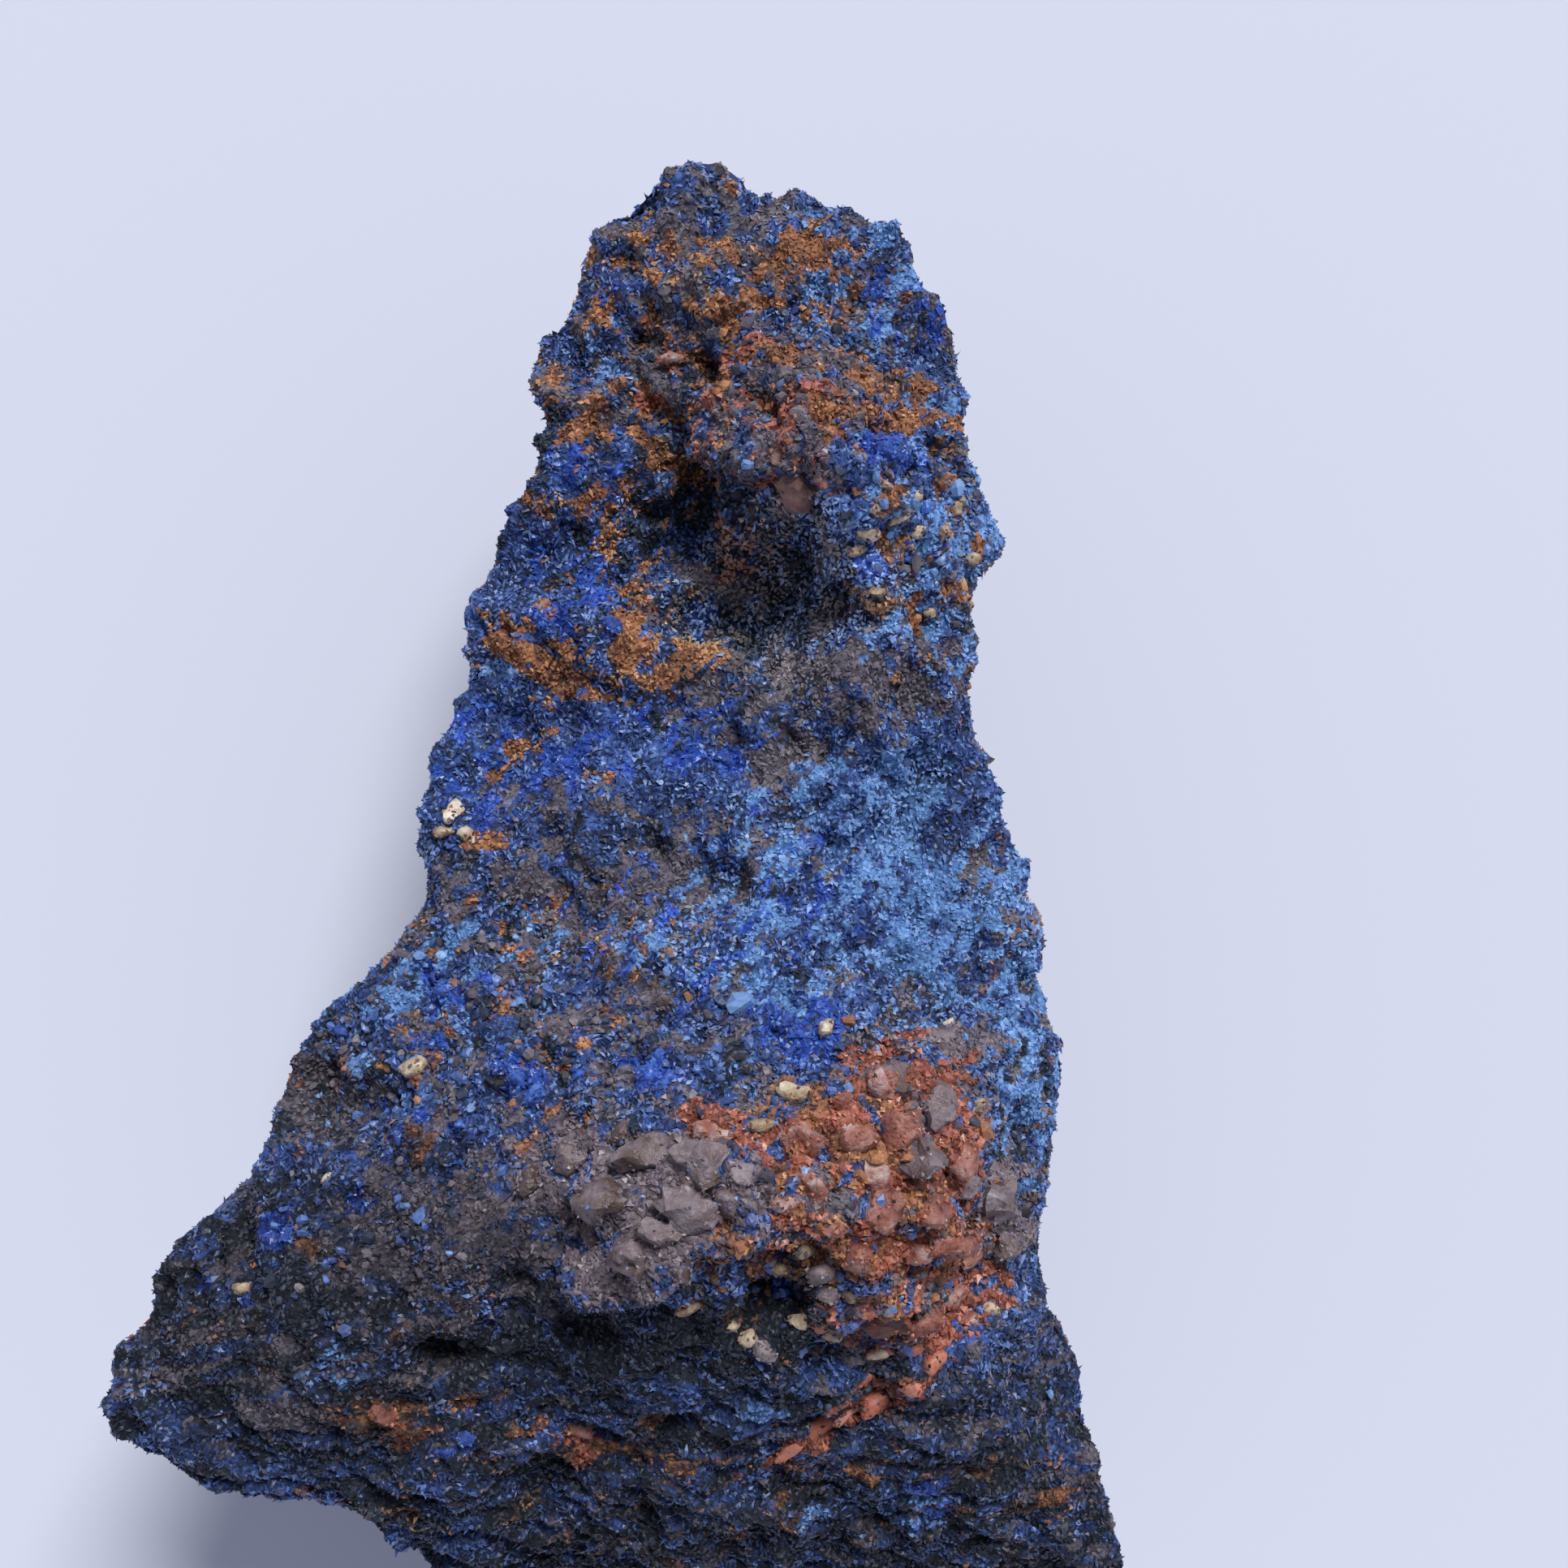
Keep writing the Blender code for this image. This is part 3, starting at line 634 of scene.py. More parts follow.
        (-0.5, 9, 1.6, 2.4, 0, 0.14), (6.4, 7.8, 0.9, 1.4, 0, 0.22), (-2.4, -1, 3.2, 1.9, 24, 0.2),
        (1, -10.4, 7, 1.6, 0, 0.09), (4.2, -5, 2, 1.8, 0, 0.34), (4.4, -2.5, 1.4, 0.5, -20, 0.5),
        (6, -4.4, 1, 0.5, -25, 0.45), (5.8, 8.4, 1.3, 1.7, 0, 0.2), (8, -0.4, 0.9, 3.6, 0, 0.07),
        (-5.6, -6.4, 3, 1.6, 0, 0.07),
    ),
}
# On the flanks and underneath: length of the random field, the level it has to pass, cover, seed.
FLANK_FIELDS = {
    "slate": (3.4, -0.1, 0.55, 50), "silt": (4.8, 0.0, 0.60, 53), "powder": (4.3, 0.55, 0.45, 52),
    "vivid": (2.6, 0.35, 0.50, 56), "bare": (5.2, 0.80, 0.80, 55), "rust": (3.7, 0.85, 0.60, 54),
    "limonite": (3.1, 0.40, 0.65, 51),
}
CLUMPS = ((1.1, 0.8), (0.45, 0.9), (0.2, 0.6))  # length and weight of the waves that make clumps
# Ovals of painted shade, where the crust is darker, by how much: most of the front, the lobe and the
# hollow.
PAINTED_SHADE = (
    (2, -10, 10, 2.6, 0, 0.62), (3, -14, 8.5, 3.6, 0, 1), (-6.9, -7.2, 3.6, 2.8, 0, 1),
    (-0.7, -6.9, 5.6, 1.4, 0, 0.68), (-6.2, -2.8, 1.6, 1.6, 30, 0.45), (-4.6, -4.8, 3.2, 1.6, 12, 1),
    (9.2, -9.5, 2, 5.5, 0, 0.45), (3.2, -5.7, 0.9, 0.9, 0, 0.6), (1.4, 12, 1.8, 0.9, 0, 0.15),
)
PAINTED_LIGHT_HOLLOW = (3.0, 7.7, 2.2, 1.8, 0, 1.0)  # painted light: the hollow under the knob is coloured paler than its shadow makes it

# %% [markdown]
# ## Mixing the minerals
#
# The tables say how much of a place a mineral covers; this says which grains. A random field is
# compared with the cover, as when a sponge with more or less paint is dabbed on: only its high
# spots print where the cover is thin, and all of it where the cover is full.

# %% Mixing the minerals
TOP_FACE = (-0.05, 0.25)   # upward part of the facing over which the tables take over
TOP_ABOVE = (4.5, 6.5)     # and heights in mm over which they do
PAINTED_LIGHT_LIFTS = 1.7           # how far the painted light lifts the hollow, against the painted shade
FLANK_PAINTED_SHADE = 0.35      # painted shade on the flanks and the underside
FLANK_RAMP = (-0.3, 0.9)   # a field's cover grows between these, seen from its level
PAINTED_SHADE_FRAYED = (0.3, 1.2, 59)  # share of an oval of painted shade by which its edge is frayed, length, seed
DRAWN_OUT = 0.6            # share by which X shrinks for the waves, so that clumps grow long in X
DRAWN_FROM = (6.5, 8.5)    # mm towards -Y over which that begins
FIRST_SEED = 60            # of the clumps
FRAYING = 0.25             # how far the clumps fray the edge of a patch
BY_THE_GRAIN = 0.8         # on sand, the part of the choice that is made for a grain as a whole
SOFTNESS = 0.20            # half the width of a border between minerals, in cover
THINNEST = 0.12            # cover below which a patch thins out to nothing


def mineral_shares(points, facing):
    """The share of each mineral at each point, 0 to 1, and the painted shade: darker on the front,
    the lobe, the flanks and the underside, and lifted by painted light in the hollow under the
    knob. A patch covers its middle fully and fades out round an oval. A random field, evened so
    that every level is as likely, picks as much of the place as is covered; on sand the field has
    one value for each grain. On the front the clumps are drawn out along the beds."""
    upper = smooth(facing[..., 2], *TOP_FACE) * smooth(points[..., 2], *TOP_ABOVE)
    drawn_out = np.ones_like(points)
    drawn_out[..., 0] -= DRAWN_OUT * smooth(-points[..., 1], *DRAWN_FROM)
    size, _, seed, _ = CRUMBS[2]
    sand_grain = cells(points, size, seed)[1]
    sandy = smooth(covered(points, SANDY, 0.0), 0.1, 0.9)
    low, high = FLANK_RAMP
    shares = {}
    for number, (mineral, patches) in enumerate(PATCHES.items()):
        seed = FIRST_SEED + 3 * number
        raw = sum(weight * waves(points * drawn_out, length, seed) for length, weight in CLUMPS)
        spread = 0.5 * np.sqrt(sum(weight**2 for _, weight in CLUMPS))
        even = 1 / (1 + np.exp(-1.7 * raw / spread))  # a logistic curve evens out a bell
        grain_chance = (sand_grain * (97 + 13 * number)) % 1.0  # another for each mineral
        even = even + BY_THE_GRAIN * sandy * (grain_chance - even)
        cover = covered(points, patches, FRAYING * raw)
        length, level, most, seed = FLANK_FIELDS[mineral]
        field = most * smooth(waves(points, length, seed), level + low, level + high)
        cover = upper * cover + (1 - upper) * field
        shares[mineral] = smooth(cover - even, -SOFTNESS, SOFTNESS) * smooth(cover, 0.0, THINNEST)
    # Painted shade: the ovals of its table on the upper face and a fixed share on the flanks and the
    # underside, less the painted light in the hollow under the knob.
    frayed = PAINTED_SHADE_FRAYED[0] * waves(points, *PAINTED_SHADE_FRAYED[1:])
    shares["dull"] = upper * covered(points, PAINTED_SHADE, frayed) + FLANK_PAINTED_SHADE * (1 - upper)
    shares["dull"] -= PAINTED_LIGHT_LIFTS * upper * covered(points, (PAINTED_LIGHT_HOLLOW,), 0.0)
    return shares


skin_shares = mineral_shares(grid, facing)
for mineral, share in skin_shares.items():
    print(mineral, "covers", round(100 * float(share.mean()), 1), "% of the skin's points")

# %% [markdown]
# ## Making a piece
#
# Every piece below is arrays of points and faces, so one function turns such arrays into a mesh:
# it scales millimetres to metres, stores the shares and tones that its material reads, and lays
# out the map named OFBake, which gives the surface its own place in a picture of its colours.


# %% Making a piece
SHARP_ANGLE = 42.0  # degrees: a smooth piece still shows an edge sharper than this


def make_piece(name, points, faces, places, material, values, smooth_shaded):
    """A mesh object from points in mm, faces as arrays of corners (one array for each number of
    corners), the places of those corners on the map, and a value for each point by name."""
    corners = np.concatenate([group.ravel() for group in faces]).astype(np.int32)
    sizes = np.concatenate([np.full(len(group), group.shape[1]) for group in faces])
    mesh = bpy.data.meshes.new(name)
    mesh.vertices.add(len(points))
    mesh.vertices.foreach_set("co", (points * MM).astype(np.float32).ravel())
    mesh.loops.add(len(corners))
    mesh.loops.foreach_set("vertex_index", corners)
    mesh.polygons.add(len(sizes))
    starts = np.concatenate([[0], np.cumsum(sizes)[:-1]]).astype(np.int32)
    mesh.polygons.foreach_set("loop_start", starts)
    mesh.update(calc_edges=True)
    mesh.validate()
    mesh.uv_layers.new(name="OFBake").uv.foreach_set("vector", places.astype(np.float32).ravel())
    for value_name, value in values.items():
        attribute = mesh.attributes.new(value_name, "FLOAT", "POINT")
        attribute.data.foreach_set("value", value.astype(np.float32).ravel())
    if smooth_shaded:
        mesh.shade_smooth()
        mesh.set_sharp_from_angle(angle=np.radians(SHARP_ANGLE))
    else:
        mesh.shade_flat()
    mesh.materials.append(material)
    piece = bpy.data.objects.new(name, mesh)
    bpy.context.scene.collection.objects.link(piece)
    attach(piece, "root")
    print(name, "has", int((sizes - 2).sum()), "triangles")
    return piece


# %% [markdown]
# ## Closing a grid
#
# The skin and every grain are the same kind of net, rings of points with a pole at each end, and
# only the numbers differ. So one function lists the faces of such a net: quads between the
# rings and a fan of triangles at each pole, which leaves no seam and no hole.


# %% Closing a grid
def closed_grid(rings, around):
    """Faces of rings of points with a pole at each end, facing out, and the places of their
    corners on a map that runs around in U and along in V. Pole points come last."""
    ring, turn = np.meshgrid(np.arange(rings - 1), np.arange(around), indexing="ij")
    after = (turn + 1) % around
    quads = [ring * around + turn, ring * around + after]
    quads += [(ring + 1) * around + after, (ring + 1) * around + turn]
    turn = np.arange(around)
    after = (turn + 1) % around
    first, last = rings * around, rings * around + 1
    tip = np.stack([np.full(around, first), after, turn], axis=-1)
    butt = np.stack([np.full(around, last), turn, after], axis=-1)
    butt[:, 1:] += (rings - 1) * around
    u = np.arange(around) / around
    next_u = u + 1 / around
    v = (np.arange(rings) + 1) / (rings + 1)
    quad_u = np.broadcast_to(np.stack([u, next_u, next_u, u], -1), (rings - 1, around, 4))
    quad_v = np.stack([v[:-1], v[:-1], v[1:], v[1:]], -1)[:, None].repeat(around, axis=1)
    middle = (u + next_u) / 2
    tip_uv = np.stack([middle, next_u, u, 0 * u, 0 * u + v[0], 0 * u + v[0]], -1)
    butt_uv = np.stack([middle, u, next_u, 0 * u + 1, 0 * u + v[-1], 0 * u + v[-1]], -1)
    places = [np.stack([quad_u, quad_v], -1).reshape(-1, 2)]
    places += [np.swapaxes(cap.reshape(-1, 2, 3), 1, 2).reshape(-1, 2) for cap in (tip_uv, butt_uv)]
    faces = [np.stack(quads, -1).reshape(-1, 4), np.concatenate([tip, butt])]
    return faces, np.concatenate(places)


# %% [markdown]
# ## The skin's finish
#
# Seen close, the crust is coloured grains with dark gaps between them. Colour alone could draw
# both, but would lie flat, so the grains are made as meshes further on, and the skin is what
# shows in the gaps: each mineral there is a darker tone of its grains, partly the darker rock
# and partly painted shade in the gaps. Every share has its colour ramp, driven by noise as fine
# as the grains, and the shares mix them one after another. Last, painted shade darkens the low
# places of the crust and the places that the table of painted shade marks.

# %% The skin's finish
GRAIN = 0.12           # mm across one azurite crystal
BLOTCH = 0.6           # mm across a lighter or darker blotch
BUMP = 0.05            # mm that a speckle stands out
PAINTED_SHADE_LEAST = 0.45          # light that a place under full painted shade still returns
CAVITY_PAINTED_SHADE = (-0.35, 0.05)   # height of the crust, mm, over which painted shade in the low places thins out
CAVITY_SHADE_LEAST = 0.35         # light that the deepest gap still returns
BORDER = (0.80, 1.15)  # share plus speckle over which one mineral takes over from another

# Sandstone matrix under a crust of azurite, limonite and silt: dull broken rock that drinks light,
# so it is rough everywhere, a little less so in fine specks.
skin_finish, tree, shader = fresh_material("crusted_sandstone")
place = add(tree, "ShaderNodeTexCoord", {}).outputs["Object"]
speckle = add(tree, "ShaderNodeTexNoise", {"Vector": place, "Scale": 1 / (GRAIN * MM), "Detail": 3.0})
blotch = add(tree, "ShaderNodeTexNoise", {"Vector": place, "Scale": 1 / (BLOTCH * MM), "Detail": 4.0})
both = {0: speckle.outputs["Fac"], 1: blotch.outputs["Fac"]}
both = add(tree, "ShaderNodeMath", both, operation="ADD").outputs[0]
level = add(tree, "ShaderNodeMath", {0: both, 1: 0.5}, operation="MULTIPLY").outputs[0]

# Darker tones of each mineral: the rock between the crystals, and painted shade in the gaps between
# them.
SKIN_COLOURS_WITH_GAP_SHADE = {
    "azurite": ((0.38, "#141a28"), (0.48, "#253354"), (0.56, "#365092"), (0.66, "#5274bc")),
    "slate": ((0.38, "#0c1018"), (0.50, "#19202b"), (0.64, "#2e3948")),
    "silt": ((0.38, "#2a2731"), (0.50, "#524d59"), (0.64, "#827a82")),
    "powder": ((0.38, "#263d5c"), (0.50, "#4a74ae"), (0.62, "#7cace0")),
    "vivid": ((0.38, "#121c44"), (0.50, "#2843a4"), (0.62, "#4670dc")),
    "bare": ((0.38, "#3a343c"), (0.50, "#665a60"), (0.62, "#8f8284")),
    "rust": ((0.38, "#402523"), (0.50, "#8a5346"), (0.62, "#bc7d66")),
    "limonite": ((0.38, "#38261e"), (0.50, "#80543c"), (0.62, "#bc835a")),
}
colour = None
for mineral, stops in SKIN_COLOURS_WITH_GAP_SHADE.items():
    own = add(tree, "ShaderNodeValToRGB", {"Fac": level}, stops=stops).outputs["Color"]
    if colour is None:
        colour = own
        continue
    share = add(tree, "ShaderNodeAttribute", {}, attribute_name=mineral).outputs["Fac"]
    frayed = add(tree, "ShaderNodeMath", {0: share, 1: speckle.outputs["Fac"]}, operation="ADD")
    edge = {"Value": frayed.outputs[0], "From Min": BORDER[0], "From Max": BORDER[1]}
    mask = add(tree, "ShaderNodeMapRange", edge).outputs["Result"]
    mixed = {"Fac": mask, "Color1": colour, "Color2": own}
    colour = add(tree, "ShaderNodeMixRGB", mixed).outputs["Color"]
# Painted shade: the colour darkens where the crust lies low, in its pits and between its crumbs.
depth = add(tree, "ShaderNodeAttribute", {}, attribute_name="height").outputs["Fac"]
cavity_shade = {"Value": depth, "From Min": CAVITY_PAINTED_SHADE[0], "From Max": CAVITY_PAINTED_SHADE[1], "To Min": CAVITY_SHADE_LEAST, "To Max": 1.0}
cavity_shade = add(tree, "ShaderNodeMapRange", cavity_shade).outputs["Result"]
cavity_shaded = {"Fac": 1.0, "Color1": colour, "Color2": cavity_shade}
cavity_shaded = add(tree, "ShaderNodeMixRGB", cavity_shaded, blend_type="MULTIPLY").outputs["Color"]
# Painted shade: darker on the front, the lobe and the other places of its table, and on the flanks and
# the underside.
dull = add(tree, "ShaderNodeAttribute", {}, attribute_name="dull").outputs["Fac"]
dull = {"Value": dull, "To Min": 1.0, "To Max": PAINTED_SHADE_LEAST}
dull = add(tree, "ShaderNodeMapRange", dull).outputs["Result"]
painted_shaded_colour = {"Fac": 1.0, "Color1": cavity_shaded, "Color2": dull}
painted_shaded_colour = add(tree, "ShaderNodeMixRGB", painted_shaded_colour, blend_type="MULTIPLY").outputs["Color"]
tree.links.new(painted_shaded_colour, shader.inputs["Base Color"])
rough = {"Value": speckle.outputs["Fac"], "To Min": 0.95, "To Max": 0.65}
tree.links.new(add(tree, "ShaderNodeMapRange", rough).outputs["Result"], shader.inputs["Roughness"])
shader.inputs["Specular IOR Level"].default_value = 0.35
bumps = {"Height": speckle.outputs["Fac"], "Strength": 0.8, "Distance": BUMP * MM}
tree.links.new(add(tree, "ShaderNodeBump", bumps).outputs["Normal"], shader.inputs["Normal"])
print(skin_finish.name, "has", len(tree.nodes), "nodes")

# %% [markdown]
# ## The skin
#
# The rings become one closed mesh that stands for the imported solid, with a fan of triangles at
# the tip and at the wide end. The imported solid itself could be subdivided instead, but its
# triangles are loose and follow no grid that a pattern could use.

# %% The skin
faces, places = closed_grid(RINGS, AROUND)


def with_poles(values):
    """A value for every point of the rings, then the means of the two pole rows."""
    poles = [values[0].mean(axis=0, keepdims=True), values[-1].mean(axis=0, keepdims=True)]
    return np.concatenate([values[1:-1].reshape(-1, *values.shape[2:]), *poles])


values = {mineral: with_poles(share) for mineral, share in skin_shares.items()}
values["height"] = with_poles(height)
skin = make_piece("azurite_rock_skin", with_poles(skin_points), faces, places, skin_finish, values, True)
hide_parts("azurite_rock")

# %% [markdown]
# ## A grain
#
# A crystal a tenth of a millimetre across covers only a few pixels, so a spindle of six
# triangles is enough for it; a quartz grain ten times as wide needs real roundness. Both are a
# sphere written as a function of latitude and longitude, with its poles at the two ends of the
# grain's length: with one ring of three points it is the spindle, and with more it is a pebble.


# %% A grain
BREAKS = 7               # flat breaks that cut a larger grain
BREAK_AT = (0.45, 0.9)   # how far from the middle, in radii
LUMP_LENGTH = 0.45       # mm: length of the waves that swell and dent a large grain
SMOOTH_ABOVE = 5         # a ball with more rings than this is shaded smooth
ON_THE_MAP = 0.33        # radius of a grain in its square of the map
SEEN_ASIDE = 0.35        # how far the view of it there is from straight above


def ball(rings, around):
    """Points of a sphere of radius 1: rings of equal steps of latitude, then the two poles."""
    latitude = np.pi * (0.5 - (np.arange(rings) + 1) / (rings + 1))[:, None]
    longitude = -2 * np.pi * (np.arange(around) / around)[None, :]
    x, y = np.cos(latitude) * np.cos(longitude), np.cos(latitude) * np.sin(longitude)
    z = np.sin(latitude) + 0 * longitude
    ring_points = np.stack([x, y, z], axis=-1).reshape(-1, 3)
    return np.concatenate([ring_points, [(0, 0, 1), (0, 0, -1)]])


def unit(vectors):
    """Vectors scaled to length 1."""
    return vectors / np.maximum(np.linalg.norm(vectors, axis=-1, keepdims=True), 1e-12)


def balls_at(centres, facing, sizes, shape_grid, tilt, uneven, seed, along=None, lumpy=0.0):
    """Points of many balls, one row for each: knocked out of true, cut by flat breaks if there is
    more than one ring, stretched to half sizes, turned about the way they face, which is tilted
    at random, and put in their places. The poles, first made at the ends of Z, are rolled to
    the ends of the length. Along gives the way that the length lies, as far as the facing lets
    it, which else is random, and lumpy swells and dents the balls by a random field."""
    rng = np.random.default_rng(seed)
    rings, around = shape_grid
    shape = np.roll(ball(rings, around), 1, axis=1)
    count, per = len(centres), len(shape)
    up = unit(facing + tilt * rng.normal(size=(count, 3)))
    over = unit(np.cross(up, rng.normal(size=(count, 3)) if along is None else along))
    across = np.cross(over, up)
    local = shape[None] * (1 + uneven * rng.uniform(-1, 1, (count, per, 1)))
    for _ in range(BREAKS if rings > 1 else 0):
        broken = unit(rng.normal(size=(count, 1, 3)))
        reach = rng.uniform(*BREAK_AT, (count, 1, 1))
        local = local - np.maximum((local * broken).sum(-1, keepdims=True) - reach, 0) * broken
    local = local * sizes[:, None, :]
    from_centre = local[..., :1] * across[:, None] + local[..., 1:2] * over[:, None]
    from_centre = from_centre + local[..., 2:] * up[:, None]
    points = centres[:, None] + from_centre
    if lumpy:
        points = points + lumpy * waves(points, LUMP_LENGTH, seed)[..., None] * from_centre
    points[..., 2] = np.maximum(points[..., 2], 0.0)
    return points


def strewn_balls(name, points, shape_grid, tone, material):
    """One joined mesh of the balls in these rows of points, each with its tone and its own small
    square of the map, where it is drawn flat as if seen a little from one side."""
    count, per = points.shape[:2]
    first = (np.arange(count) * per)[:, None, None]
    groups, _ = closed_grid(*shape_grid)
    faces = [(group[None] + first).reshape(-1, group.shape[1]) for group in groups if len(group)]
    side = int(np.ceil(np.sqrt(count)))
    shape = ball(*shape_grid)
    flat = ON_THE_MAP * (shape[:, :2] + SEEN_ASIDE * shape[:, 2:]) + 0.5
    cell = np.stack([np.arange(count) % side, np.arange(count) // side], axis=-1)[:, None]
    spots = ((cell + flat[None]) / side).reshape(-1, 2)
    places = spots[np.concatenate([group.ravel() for group in faces])]
    values = {"tone": np.repeat(tone, per)}
    smooth_shaded = shape_grid[0] > SMOOTH_ABOVE
    return make_piece(name, points.reshape(-1, 3), faces, places, material, values, smooth_shaded)


# %% [markdown]
# ## Finishes of the grains
#
# A grain has one tone, stored with it, so that neighbours differ as real crystals do, and a
# colour ramp for its mineral turns that tone into a colour. A material for each shade would do
# it too, but would split the meshes, and one number for each grain keeps them joined.

# %% Finishes of the grains
MOTTLED = (0.3, 0.7)   # the noise between these levels shifts a grain's tone down or up
GLOSS_SPREAD = 0.12    # the noise varies the roughness by this, either way
PITTED = (0.12, 0.08)  # width and depth in mm of the pits in the face of a large grain


def grain_finish(name, stops, roughness, ior, mottle, patch=0.06, clear=0.0, pitted=0.0):
    """A finish whose colour follows each grain's tone, mottled inside the grain by noise with
    patches this many millimetres across. Clear lets light through, pitted roughens the face."""
    material, tree, shader = fresh_material(name)
    place = add(tree, "ShaderNodeTexCoord", {}).outputs["Object"]
    tone = add(tree, "ShaderNodeAttribute", {}, attribute_name="tone").outputs["Fac"]
    fine = add(tree, "ShaderNodeTexNoise", {"Vector": place, "Scale": 1 / (patch * MM), "Detail": 4.0})
    shift = {"Value": fine.outputs["Fac"], "From Min": MOTTLED[0], "From Max": MOTTLED[1]}
    shift |= {"To Min": -mottle, "To Max": mottle}
    shift = add(tree, "ShaderNodeMapRange", shift).outputs["Result"]
    level = add(tree, "ShaderNodeMath", {0: tone, 1: shift}, operation="ADD").outputs[0]
    ramp = add(tree, "ShaderNodeValToRGB", {"Fac": level}, stops=stops)
    tree.links.new(ramp.outputs["Color"], shader.inputs["Base Color"])
    gloss = {"Value": fine.outputs["Fac"]}
    gloss |= {"To Min": roughness - GLOSS_SPREAD, "To Max": roughness + GLOSS_SPREAD}
    tree.links.new(add(tree, "ShaderNodeMapRange", gloss).outputs["Result"], shader.inputs["Roughness"])
    shader.inputs["IOR"].default_value = ior
    shader.inputs["Transmission Weight"].default_value = clear
    if pitted:
        pits = {"Vector": place, "Scale": 1 / (PITTED[0] * MM), "Detail": 3.0}
        pits = add(tree, "ShaderNodeTexNoise", pits).outputs["Fac"]
        bumps = {"Height": pits, "Strength": pitted, "Distance": PITTED[1] * MM}
        tree.links.new(add(tree, "ShaderNodeBump", bumps).outputs["Normal"], shader.inputs["Normal"])
    return material


# %% [markdown]
# ## The minerals of the grains
#
# Azurite is a glassy carbonate with an index near 1.75, so its faces glint, while limonite and
# silt are earths and do not. The same azurite is royal blue where it grew clean, slate where
# iron and manganese film it, and sky blue where it lies as powder. In the hollow and the pits
# under the knob, on the front face and on the lobe, the slate is painted shade.

# %% The minerals of the grains
# Azurite: grown crystals, glassy, from ink through royal blue to the pale glint of thin edges.
azurite = grain_finish(
    "azurite_crystal",
    (
        (0.0, "#161c2c"), (0.2, "#293657"), (0.42, "#3f5894"),
        (0.62, "#587cc2"), (0.8, "#84a0d2"), (1.0, "#b9c9e4"),
    ),
    0.5, 1.75, 0.10,
)
# Dark azurite filmed with iron and manganese: slate, nearly black, with little gloss. In the hollow and
# pits under the knob, on the front face and on the lobe it is painted shade.
slate = grain_finish(
    "filmed_azurite_and_painted_shade",
    ((0.0, "#121722"), (0.35, "#242d3f"), (0.7, "#3d4a62"), (1.0, "#65758f")),
    0.6, 1.6, 0.10,
)
# Clean clusters of azurite: the purest royal blue.
vivid = grain_finish(
    "clean_azurite",
    ((0.0, "#16264c"), (0.3, "#274698"), (0.6, "#3e6cc8"), (0.85, "#6c96de"), (1.0, "#b4ccf0")),
    0.45, 1.75, 0.10,
)
# Azurite powder mixed with a little malachite: dull, sky blue to turquoise.
powder = grain_finish(
    "powdery_azurite",
    ((0.0, "#48628f"), (0.3, "#648abf"), (0.6, "#80a8df"), (0.85, "#a0c5eb"), (1.0, "#cce3f2")),
    0.65, 1.6, 0.12,
)
# Limonite: rusty ochre left by water, an earth without any gloss.
limonite = grain_finish(
    "earthy_limonite",
    ((0.0, "#40302b"), (0.25, "#7c5747"), (0.5, "#aa7250"), (0.75, "#cb9468"), (1.0, "#dfbe9c")),
    0.85, 1.5, 0.15,
)
# Silt: dried mud in the hollows, grey brown and dead matt.
silt = grain_finish(
    "dried_silt",
    ((0.0, "#2e2b35"), (0.35, "#5d5762"), (0.7, "#8c848a"), (1.0, "#bdb2ac")),
    0.9, 1.5, 0.12,
)
# Quartz stained by haematite: brick red to salmon, a little waxy.
rust = grain_finish(
    "stained_quartz",
    ((0.0, "#40221d"), (0.35, "#8c4c3c"), (0.65, "#bd7056"), (0.85, "#cf927a"), (1.0, "#dfbcae")),
    0.5, 1.54, 0.12,
)
# Bare quartz sand: grey mauve, greasy lustre on its broken faces.
bare = grain_finish(
    "bare_quartz",
    ((0.0, "#443d46"), (0.4, "#766972"), (0.75, "#988a90"), (1.0, "#c4b9ba")),
    0.4, 1.54, 0.10,
)
# The larger grains of bare quartz, one lump of clear mineral each: greyish mauve, stained brown in
# patches, some light passing through.
lump = grain_finish(
    "quartz_grain",
    ((0.0, "#3a2b26"), (0.3, "#6b5750"), (0.55, "#877578"), (0.8, "#9f9094"), (1.0, "#c4b8ba")),
    0.45, 1.54, 0.32, patch=0.45, clear=0.25, pitted=0.9,
)
# The same, stained brick red by haematite, salmon where the stain is thin.
stained_lump = grain_finish(
    "stained_quartz_grain",
    ((0.0, "#3a1f1b"), (0.3, "#7c4538"), (0.6, "#a96a5a"), (0.8, "#b88a80"), (1.0, "#dcc2ba")),
    0.5, 1.54, 0.34, patch=0.40, clear=0.2, pitted=0.9,
)
# Rosettes of azurite: the same royal blue, each a ball of tiny blades and so matt as a whole.
rosette = grain_finish(
    "azurite_rosette",
    ((0.0, "#182650"), (0.35, "#27459a"), (0.7, "#3c66c0"), (1.0, "#6c92d6")),
    0.75, 1.6, 0.25, patch=0.12, pitted=1.0,
)
# A nugget of ironstone: brown with a pink cast, nearly matt.
nugget = grain_finish(
    "ironstone",
    ((0.0, "#422c28"), (0.35, "#805c54"), (0.7, "#aa8070"), (1.0, "#cfac9c")),
    0.65, 1.54, 0.30, patch=0.35, pitted=0.7,
)
# Calcite and feldspar grit: cream, dull.
cream = grain_finish(
    "cream_grit",
    ((0.0, "#5e4c38"), (0.35, "#9c8468"), (0.7, "#c9b698"), (1.0, "#f2ead8")),
    0.6, 1.6, 0.25, patch=0.16, pitted=0.6,
)

